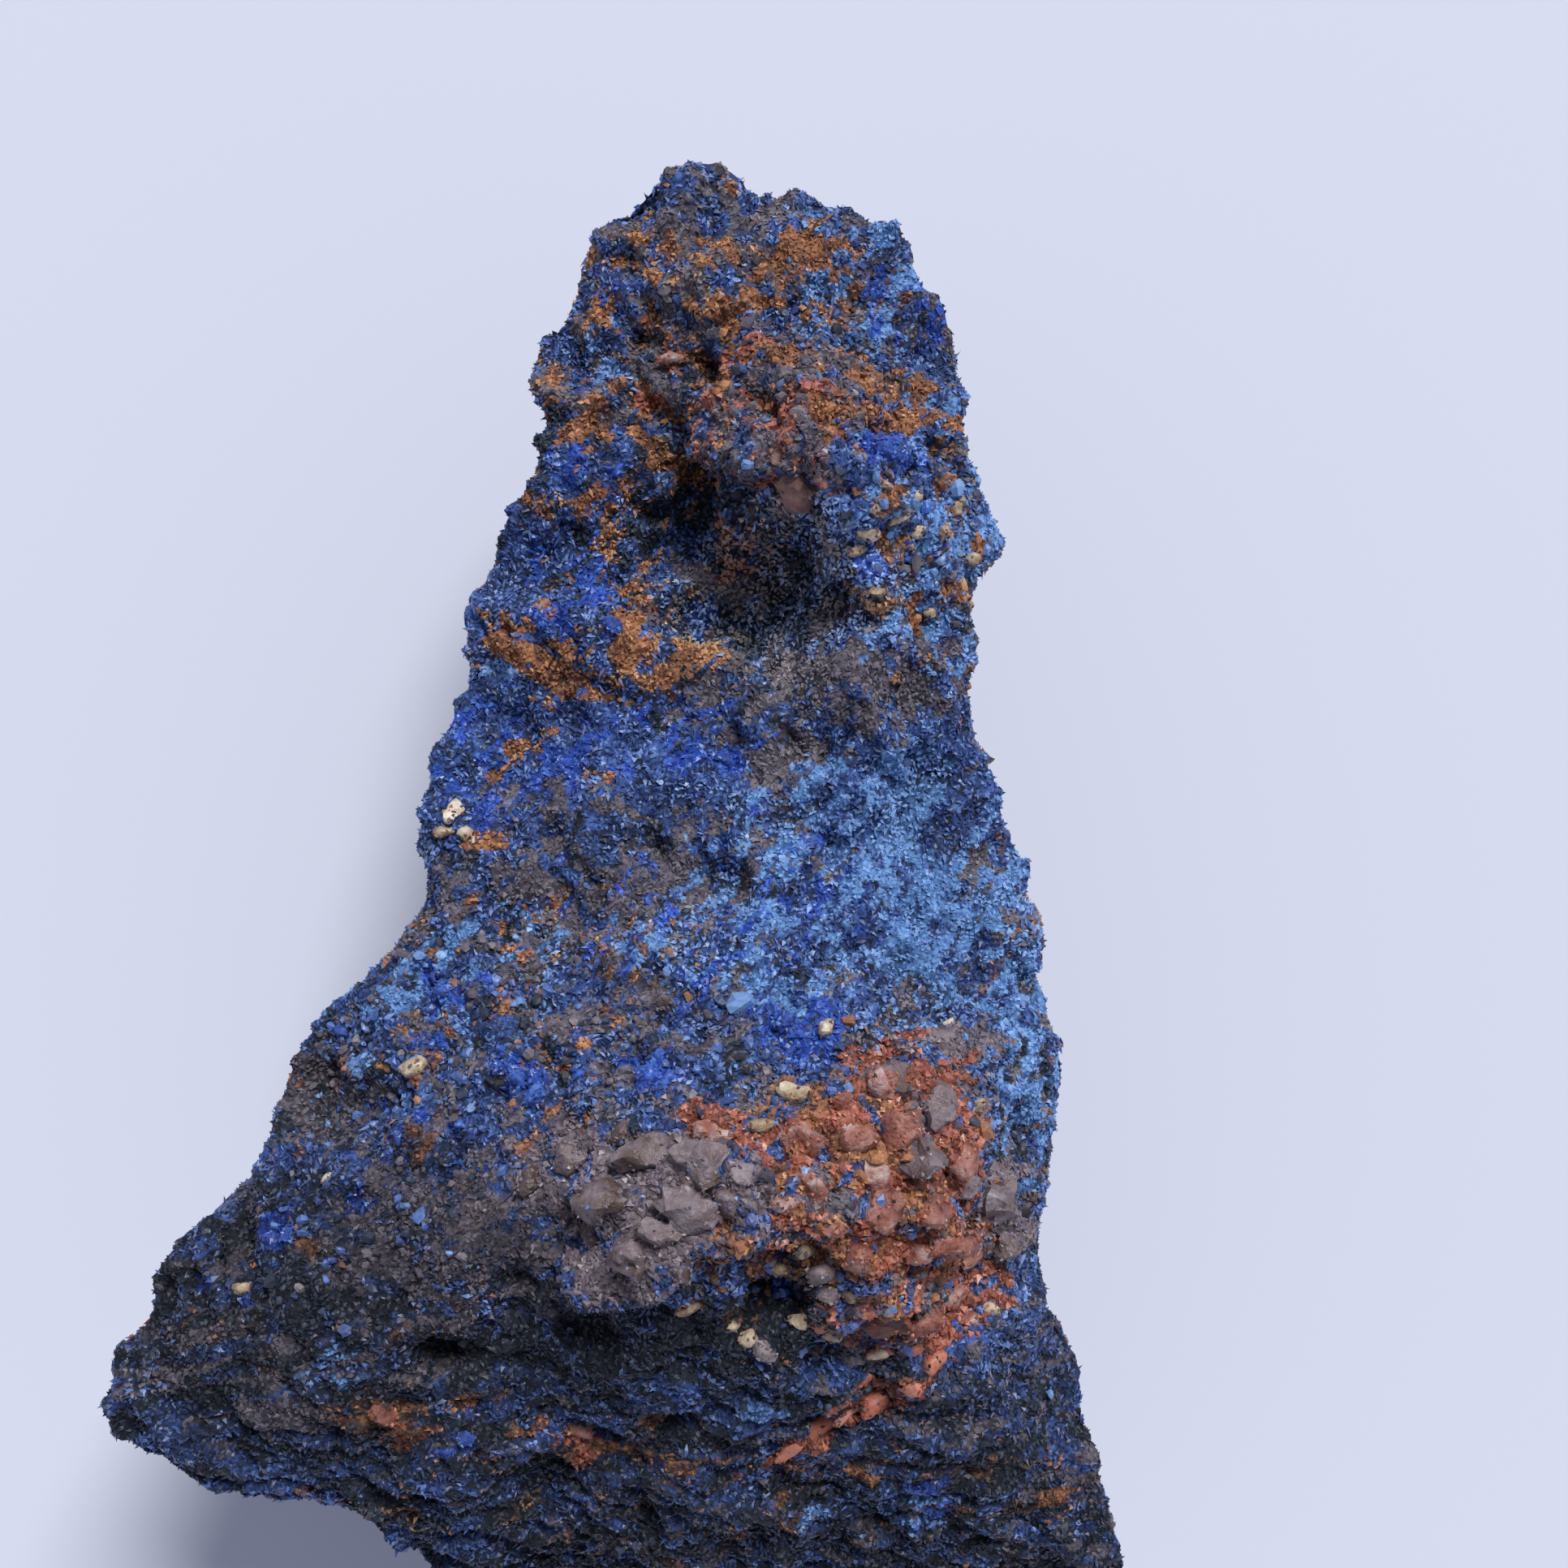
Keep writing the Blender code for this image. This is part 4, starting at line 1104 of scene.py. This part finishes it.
# %% [markdown]
# ## Where the crystals stand
#
# The crust is a velvet of crystals, side by side. Particles could strew them, but leave clumps
# and gaps; here they are strewn one grid cell at a time, which spreads them evenly, as growth
# does. Each takes the mineral of its place, with a random threshold, so that two minerals
# mingle grain by grain along a border. Its tone follows slow waves as well as chance, which
# gives lighter and darker drifts of crystals.

# %% Where the crystals stand
DENSITY_ABOVE = 128.0  # grains in a square millimetre of the upper face
DENSITY_BELOW = 50.0   # and of the flanks and the underside
LARGER_BELOW = 0.30    # and larger there by this share, since they stand further apart
CLEAR_OF_FLOOR = 0.25  # mm: no grain is pressed between the stone and what it rests on
TURNS_UNDER = (-0.3, 0.2)  # upward part of the facing over which flank turns to upper face
COMB_SPREAD = 0.60     # how far a crystal's length strays from straight up and down the slope
TAKES_OVER = (0.1, 0.9)  # the share that a mineral needs for a grain is random between these
MEAN_TONE = 0.47
TONE_WAVES = ((2.6, 0.10, 72), (0.9, 0.10, 71), (0.3, 0.13, 73))  # length, share, seed
TONE_CHANCE = 0.12     # spread of the tones that is chance alone
PAINTED_SHADE_TONE = 0.30       # how much darker a grain's tone is under full painted shade
rng = np.random.default_rng(7)

rows = skin_points[1:-1]
row_facing = skin_facing[1:-1]
corner_sets = [
    (field[:-1], np.roll(field, -1, axis=1)[:-1], np.roll(field, -1, axis=1)[1:], field[1:])
    for field in (rows, row_facing, grid[1:-1])
]
a, b, c, d = corner_sets[0]  # the corners of each grid cell
area = np.linalg.norm(np.cross(c - a, d - b), axis=-1) / 2
above = smooth(row_facing[:-1, :, 2], *TURNS_UNDER)
density = DENSITY_BELOW + (DENSITY_ABOVE - DENSITY_BELOW) * above
expected = area * density * (a[..., 2] > CLEAR_OF_FLOOR)
number = np.floor(expected + rng.random(expected.shape)).astype(int).ravel()
cell = np.repeat(np.arange(number.size), number)
u, v = rng.random((2, len(cell), 1))
shares_of_corners = ((1 - u) * (1 - v), u * (1 - v), u * v, (1 - u) * v)
grain_points, grain_facing, under_grain = (
    sum(share * corner.reshape(-1, 3)[cell] for share, corner in zip(shares_of_corners, corners))
    for corners in corner_sets
)
grain_facing = unit(grain_facing)
shares = mineral_shares(under_grain, grain_facing)
kind = np.full(len(cell), "azurite", dtype="<U8")  # room for the longest name
for mineral in PATCHES:
    kind[shares[mineral] > rng.uniform(*TAKES_OVER, len(cell))] = mineral
print("area of the skin, mm2:", round(float(area.sum())), "grains:", len(cell))
drift = sum(share * waves(grain_points, length, seed) for length, share, seed in TONE_WAVES)
# Painted shade darkens the grains' tones where the skin has it; painted light raises them in the hollow
# under the knob.
tone = MEAN_TONE + drift + TONE_CHANCE * rng.normal(size=len(cell)) - PAINTED_SHADE_TONE * shares["dull"]
combed = np.array([0, 0, 1.0]) + COMB_SPREAD * rng.normal(size=grain_points.shape)
combed *= rng.choice((-1, 1), (len(cell), 1))

# %% [markdown]
# ## The velvet of small grains
#
# Each mineral grows in its own form: azurite in slim blades, limonite and silt in crumbs nearly
# as wide as long. All the grains of a mineral are one joined mesh, or several where one would
# be too large to hand over.

# %% The velvet of small grains
# Half length, half width, half height in mm; tilt; finish.
SMALL_GRAINS = {
    "azurite": ((0.082, 0.040, 0.040), 0.45, azurite),
    "slate": ((0.074, 0.045, 0.040), 0.45, slate),
    "vivid": ((0.076, 0.043, 0.042), 0.45, vivid),
    "powder": ((0.058, 0.052, 0.044), 0.50, powder),
    "limonite": ((0.062, 0.052, 0.046), 0.50, limonite),
    "silt": ((0.064, 0.050, 0.038), 0.40, silt),
    "rust": ((0.074, 0.060, 0.052), 0.45, rust),
    "bare": ((0.076, 0.064, 0.052), 0.45, bare),
}
CONTRAST = {"silt": 0.65, "powder": 0.75, "limonite": 1.25, "rust": 1.3}  # of the tones, if not 1
SPINDLE = (1, 3)         # rings of a small grain, and points on a ring
MOST_IN_A_PIECE = 32000  # grains
SIZE_SPREAD = 0.28       # of the natural logarithm of a size
STANDS_OUT = 0.15        # share of its half height by which a grain's middle clears the skin
UNEVEN = 0.25            # share of its radius by which a corner is knocked in or out
for mineral, (half_size, tilt, finish) in SMALL_GRAINS.items():
    chosen = np.flatnonzero(kind == mineral)
    bands = int(np.ceil(len(chosen) / MOST_IN_A_PIECE))
    for band, index in enumerate(np.array_split(chosen, bands)):
        name = f"{mineral}_grains" if bands == 1 else f"{mineral}_grains_{band + 1}"
        place, way = grain_points[index], grain_facing[index]
        larger = 1 + LARGER_BELOW * (1 - smooth(way[:, 2:], *TURNS_UNDER))
        size = larger * half_size * np.exp(rng.normal(0, SIZE_SPREAD, (len(index), 3)))
        sunk = place + STANDS_OUT * size[:, 2:] * way
        tones = np.clip(MEAN_TONE + CONTRAST.get(mineral, 1.0) * (tone[index] - MEAN_TONE), 0, 1)
        balls = balls_at(sunk, way, size, SPINDLE, tilt, UNEVEN, seed=100 + band, along=combed[index])
        strewn_balls(name, balls, SPINDLE, tones, finish)

# %% [markdown]
# ## Coarse sand
#
# Between the velvet stand single grains of the sandstone, two or three times as wide as a
# crystal, some clean and some coated blue or brown. Placed one by one they would fill pages, so
# they are strewn at random on the places of some crystals, more of them at the wide end and
# beside the knob, and most take the mineral of their place.

# %% Coarse sand
COARSE_GRAINS = 1100
# Finish, share of the grains that don't take the mineral of their place.
COARSE_KINDS = {
    "azurite": (azurite, 0.32), "slate": (slate, 0.20), "silt": (silt, 0.22), "vivid": (vivid, 0.04),
    "powder": (powder, 0.05), "limonite": (limonite, 0.09), "cream": (cream, 0.03), "bare": (bare, 0.05),
    "rust": (rust, 0.0),
}
COARSE_OWN = 0.7            # share of the grains that take the mineral of their place
COARSE_GRID = (3, 6)        # rings of a grain, and points on a ring
COARSE_HALF = (0.07, 0.13)  # least and most half size in mm, before the spread
COARSE_SPREAD = 0.25        # of the natural logarithm of a size
COARSE_TONE = (0.40, 0.15)  # mean and spread
COARSE_TILT, COARSE_UNEVEN = 0.6, 0.22
OFF_SAND = 0.01             # chance of a grain off the sandy places, against 1 on them
LIES_ON = (0.0, 0.4)        # upward part of the facing over which a place can hold a grain
RAISED = 0.10               # share of a half size by which a grain's middle clears the skin
rng = np.random.default_rng(8)
likely = smooth(grain_facing[:, 2], *LIES_ON) * (OFF_SAND + covered(grain_points, SANDY, 0.0))
picked = rng.choice(len(likely), COARSE_GRAINS, replace=False, p=likely / likely.sum())
names = list(COARSE_KINDS)
chance = rng.choice(len(names), COARSE_GRAINS, p=[share for _, share in COARSE_KINDS.values()])
coarse_kind = np.array(names)[chance]
own = rng.random(COARSE_GRAINS) < COARSE_OWN
coarse_kind[own] = kind[picked][own]
for name, (finish, _) in COARSE_KINDS.items():
    index = picked[coarse_kind == name]
    place, way = grain_points[index], grain_facing[index]
    size = np.exp(rng.normal(0, COARSE_SPREAD, (len(index), 1)))
    size = size * rng.uniform(*COARSE_HALF, (len(index), 3))
    sunk = place + RAISED * size[:, :1] * way
    tones = np.clip(rng.normal(*COARSE_TONE, len(index)), 0, 1)
    balls = balls_at(sunk, way, size, COARSE_GRID, COARSE_TILT, COARSE_UNEVEN, seed=200)
    strewn_balls(f"{name}_sand", balls, COARSE_GRID, tones, finish)

# %% [markdown]
# ## Where a grain lands
#
# A listed grain has only an X and a Y. A ray cast down on the skin would find its height;
# the skin is a fine net of points already, so the nearest of them does as well.

# %% Where a grain lands
FACES_UP = 0.05     # least upward part of the facing of a point that can carry a grain
HIGHER_WINS = 0.02  # mm of nearness that each mm of height is worth


def landing(spots):
    """Where spots of X and Y meet the upper face, and the way it faces there: the highest of the
    skin's points close to each spot."""
    upper = skin_facing[1:-1, :, 2] > FACES_UP
    ground, ground_facing = skin_points[1:-1][upper], skin_facing[1:-1][upper]
    apart = np.hypot(spots[:, None, 0] - ground[None, :, 0], spots[:, None, 1] - ground[None, :, 1])
    nearest = np.argmin(apart - HIGHER_WINS * ground[None, :, 2], axis=1)
    return ground[nearest], ground_facing[nearest]


# %% [markdown]
# ## Quartz, rust and cream grains one by one
#
# The biggest grains are the ones that make this specimen itself: a grey mauve cluster of quartz
# on the crest, a brick-red one beside it, a few blades of rust below that, and cream grit.
# Chance would put them elsewhere, so each is placed one by one, sits on the skin under its place,
# and is round enough to be seen alone.

# %% Quartz, rust and cream grains one by one
# X, Y, half length, half width, half height, turn in degrees, tone.
PLACED = {
    "quartz_cluster": (lump, (
        (0.75, -3.05, 0.62, 0.5, 0.42, 10, 0.5), (1.75, -3, 0.6, 0.52, 0.45, 70, 0.55),
        (1.45, -3.85, 0.72, 0.46, 0.45, 20, 0.65), (0.5, -4.7, 0.66, 0.42, 0.4, 35, 0.5),
        (-0.05, -3.75, 0.5, 0.42, 0.36, 0, 0.35), (-0.75, -3.2, 0.46, 0.34, 0.3, 15, 0.45),
        (0.95, -4.25, 0.52, 0.34, 0.34, 150, 0.6), (-0.75, -4.6, 0.2, 0.17, 0.16, 0, 1),
        (2.15, -3.65, 0.34, 0.3, 0.3, 0, 0.6), (0.2, -2.75, 0.36, 0.28, 0.26, 60, 0.4),
        (-0.3, -4.55, 0.34, 0.26, 0.24, 120, 0.3), (1.25, -4.9, 0.4, 0.26, 0.24, 30, 0.35),
        (2.45, -3.1, 0.26, 0.24, 0.22, 0, 0.5), (-1.5, -3.7, 0.32, 0.26, 0.22, 0, 0.25),
        (7.35, -4.4, 0.62, 0.52, 0.5, 80, 0.6), (7.55, -5.2, 0.4, 0.32, 0.3, 20, 0.45),
        (5.25, -1.75, 0.58, 0.52, 0.42, 0, 0.45), (5.95, -2.3, 0.46, 0.4, 0.36, 30, 0.6),
        (5.7, -3.05, 0.5, 0.44, 0.38, 80, 0.5), (6.1, -1.2, 0.36, 0.3, 0.26, 0, 0.55),
        (3.9, -5.6, 0.22, 0.2, 0.18, 0, 0.4), (6.65, -3.75, 0.3, 0.26, 0.24, 0, 0.75),
        (3.9, -5.15, 0.28, 0.24, 0.22, 0, 0.55), (2.9, -6.9, 0.24, 0.2, 0.18, 0, 0.8),
    )),
    "rust_cluster": (stained_lump, (
        (1.8, -2.6, 0.42, 0.34, 0.3, 20, 0.85), (3.55, -2.55, 0.46, 0.32, 0.3, 160, 0.8),
        (4.35, -2.55, 0.44, 0.36, 0.32, 30, 0.65), (4.75, -3.35, 0.5, 0.36, 0.34, 100, 0.75),
        (5.3, -2.6, 0.52, 0.46, 0.36, 0, 0.5), (5.05, -3.95, 0.44, 0.36, 0.34, 40, 0.6),
        (6.35, -3.2, 0.4, 0.34, 0.3, 60, 0.55), (5.85, -4.05, 0.4, 0.3, 0.28, 10, 0.45),
        (6.3, -4.7, 0.62, 0.32, 0.28, 150, 0.55), (5.55, -4.75, 0.48, 0.26, 0.26, 165, 0.7),
        (6.75, -5.35, 0.46, 0.28, 0.24, 120, 0.6), (4.5, -4.7, 0.34, 0.26, 0.24, 0, 0.55),
        (5.1, -6.15, 0.56, 0.46, 0.36, 20, 0.2), (5.85, -6.4, 0.42, 0.34, 0.28, 0, 0.3),
        (6.6, -6.3, 0.44, 0.26, 0.22, 30, 0.7), (3.75, -3.4, 0.34, 0.26, 0.24, 70, 0.7),
        (4.9, -1.7, 0.36, 0.28, 0.24, 0, 0.8), (4.2, -1.9, 0.3, 0.22, 0.2, 30, 0.65),
        (3.15, -3.6, 0.26, 0.2, 0.18, 0, 0.75), (6.95, -6.75, 0.34, 0.2, 0.18, 40, 0.75),
        (4, -4.1, 0.28, 0.2, 0.2, 0, 0.8), (0.95, 12.45, 0.26, 0.18, 0.16, 0, 0.85),
        (-4.6, -8.4, 0.44, 0.26, 0.18, 165, 0.52), (-1, -9.05, 0.44, 0.28, 0.18, 150, 0.5),
    )),
    "brown_nugget": (nugget, (
        (3.45, 9.5, 0.56, 0.4, 0.5, 15, 0.48), (3.95, 9.45, 0.22, 0.18, 0.2, 60, 0.45),
        (3.05, 9.95, 0.24, 0.18, 0.18, 20, 0.6),
    )),
    "rust_blades": (rust, (
        (3.35, -9.35, 0.46, 0.15, 0.12, 40, 0.7), (3.85, -8.9, 0.52, 0.2, 0.14, 36, 0.6),
        (4.4, -8.5, 0.48, 0.17, 0.14, 30, 0.8), (5, -8.25, 0.44, 0.2, 0.15, 38, 0.55),
        (5.55, -7.8, 0.42, 0.18, 0.14, 30, 0.75), (4.15, -8.3, 0.36, 0.14, 0.12, 48, 0.4),
        (6.1, -7.35, 0.4, 0.2, 0.14, 24, 0.65), (4.75, -7.75, 0.34, 0.16, 0.12, 15, 0.5),
    )),
    "cream_grains": (cream, (
        (4.8, 8.6, 0.22, 0.18, 0.16, 0, 0.75), (4.95, 8.95, 0.16, 0.14, 0.12, 60, 0.85),
        (5.35, 8.85, 0.26, 0.15, 0.14, 0, 0.8), (5.8, 8.65, 0.2, 0.16, 0.14, 0, 0.75),
        (5.55, 8.35, 0.16, 0.13, 0.12, 0, 0.6), (4.6, 8.2, 0.18, 0.14, 0.12, 0, 0.5),
        (5, 7.55, 0.18, 0.15, 0.14, 20, 0.3), (5.65, 7.75, 0.2, 0.16, 0.14, 70, 0.35),
        (6.35, 8.6, 0.18, 0.15, 0.14, 0, 0.4), (6.85, 7.35, 0.2, 0.16, 0.15, 0, 0.3),
        (6.15, 7.15, 0.16, 0.14, 0.12, 0, 0.45), (5.1, 9.35, 0.15, 0.13, 0.12, 0, 0.35),
        (6.55, 9.15, 0.18, 0.14, 0.13, 40, 0.35), (5.75, 9.35, 0.15, 0.12, 0.12, 0, 0.55),
        (4.4, -5.55, 0.22, 0.17, 0.15, 10, 0.35), (3.55, -4.65, 0.2, 0.16, 0.14, 0, 0.4),
        (4.15, -6.55, 0.22, 0.16, 0.14, 60, 0.45), (3.05, -5.05, 0.18, 0.14, 0.13, 0, 0.3),
        (2.75, -2.35, 0.26, 0.18, 0.16, 15, 0.3), (6.9, -2.4, 0.22, 0.16, 0.15, 0, 0.35),
        (6.7, 7.9, 0.26, 0.15, 0.14, 150, 0.55), (6.95, 8.3, 0.2, 0.14, 0.12, 30, 0.45),
        (-3.55, 3.15, 0.3, 0.2, 0.2, 120, 0.85), (-3.3, 2.8, 0.24, 0.18, 0.16, 40, 0.7),
        (-3.65, 2.75, 0.2, 0.16, 0.14, 0, 0.5), (-3.15, 2.6, 0.1, 0.1, 0.1, 0, 1),
        (3.3, -1.9, 0.42, 0.2, 0.18, 10, 0.6), (3.95, -0.8, 0.24, 0.2, 0.2, 0, 0.75),
        (6.3, -1, 0.22, 0.18, 0.16, 0, 0.8), (-4.1, -1.7, 0.26, 0.2, 0.18, 30, 0.6),
        (2.5, -6.6, 0.32, 0.2, 0.18, 150, 0.55), (2.15, -6.35, 0.22, 0.16, 0.14, 0, 0.7),
        (1.5, -5.8, 0.26, 0.18, 0.16, 30, 0.3), (3.4, -6.3, 0.22, 0.16, 0.14, 0, 0.55),
        (-7.3, -6.1, 0.2, 0.16, 0.14, 0, 0.4), (4.9, -7.1, 0.26, 0.14, 0.12, 20, 0.6),
        (7.2, -6.55, 0.24, 0.16, 0.14, 0, 0.6), (-5.8, -4, 0.16, 0.13, 0.12, 0, 0.7),
    )),
    "azurite_clusters": (rosette, (
        (-1.95, -1.9, 0.3, 0.24, 0.2, 0, 0.55), (-1.6, -2.1, 0.26, 0.2, 0.18, 60, 0.7),
        (-2.25, -1.7, 0.18, 0.15, 0.14, 0, 0.45), (0.6, -1.7, 0.26, 0.2, 0.18, 20, 0.55),
        (0.95, -1.85, 0.2, 0.16, 0.14, 80, 0.65), (3.2, -0.8, 0.3, 0.2, 0.16, 0, 0.35),
        (1.95, 4.25, 0.26, 0.16, 0.14, 0, 0.4), (5.2, 10.1, 0.3, 0.26, 0.2, 0, 0.5),
        (-3.55, -0.25, 0.26, 0.2, 0.18, 0, 0.5), (-0.35, 6.95, 0.26, 0.14, 0.12, 140, 0.45),
        (-6.5, -5.05, 0.22, 0.18, 0.16, 0, 0.45), (-3, -8.9, 0.24, 0.16, 0.14, 0, 0.4),
    )),
}
HAND_GRID = (9, 14)  # rings of a grain, and points on a ring
HAND_TILT = 0.15     # spread of the way it faces
HAND_UNEVEN = 0.03   # share of its radius by which a point is knocked in or out
HAND_LUMPY = 0.30    # share by which waves swell and dent it
placed_balls = {}
for number, (name, (finish, rows_of_grains)) in enumerate(PLACED.items()):
    table = np.array(rows_of_grains)
    ground, ground_facing = landing(table[:, :2])
    turn = np.radians(table[:, 5])
    along = np.stack([np.cos(turn), np.sin(turn), np.zeros_like(turn)], axis=-1)
    centres = ground + RAISED * table[:, 4:5] * ground_facing
    balls = balls_at(
        centres, ground_facing, table[:, 2:5], HAND_GRID, HAND_TILT, HAND_UNEVEN,
        seed=300 + number, along=along, lumpy=HAND_LUMPY,
    )
    placed_balls[name] = (balls, centres)
    strewn_balls(name, balls, HAND_GRID, table[:, 6], finish)

# %% [markdown]
# ## Dust on the larger grains
#
# No grain here is clean: the same small crystals and silt sit on the large ones as between them.
# Noise in the colour could hint at them, but they show in the outline too, so some of the points
# of the large grains each take a small one.

# %% Dust on the larger grains
# For each group: the kinds of dust, and the share of the points that carry some.
DUST = {
    "quartz_cluster": ((silt, 0.14), (bare, 0.16), (azurite, 0.04)),
    "rust_cluster": ((rust, 0.22), (limonite, 0.10), (bare, 0.05)),
    "brown_nugget": ((silt, 0.04), (rust, 0.05)),
    "rust_blades": ((rust, 0.16), (slate, 0.05)),
    "cream_grains": ((silt, 0.08), (limonite, 0.06)),
    "azurite_clusters": ((azurite, 0.20), (vivid, 0.30)),
}
DUST_HALF = (0.03, 0.065)  # least and most half size in mm
DUST_TONE = (0.45, 0.18)   # mean and spread
DUST_TILT = 0.4
for number, (name, dusts) in enumerate(DUST.items()):
    balls, centres = placed_balls[name]
    outward = unit(balls - centres[:, None]).reshape(-1, 3)
    spots = balls.reshape(-1, 3)
    for finish, share in dusts:
        chosen = rng.random(len(spots)) < share
        size = rng.uniform(*DUST_HALF, (int(chosen.sum()), 3))
        place, way = spots[chosen], outward[chosen]
        dust = balls_at(place, way, size, SPINDLE, DUST_TILT, UNEVEN, seed=400 + number)
        tones = np.clip(rng.normal(*DUST_TONE, len(size)), 0, 1)
        strewn_balls(f"{name}_dust_{finish.name}", dust, SPINDLE, tones, finish)
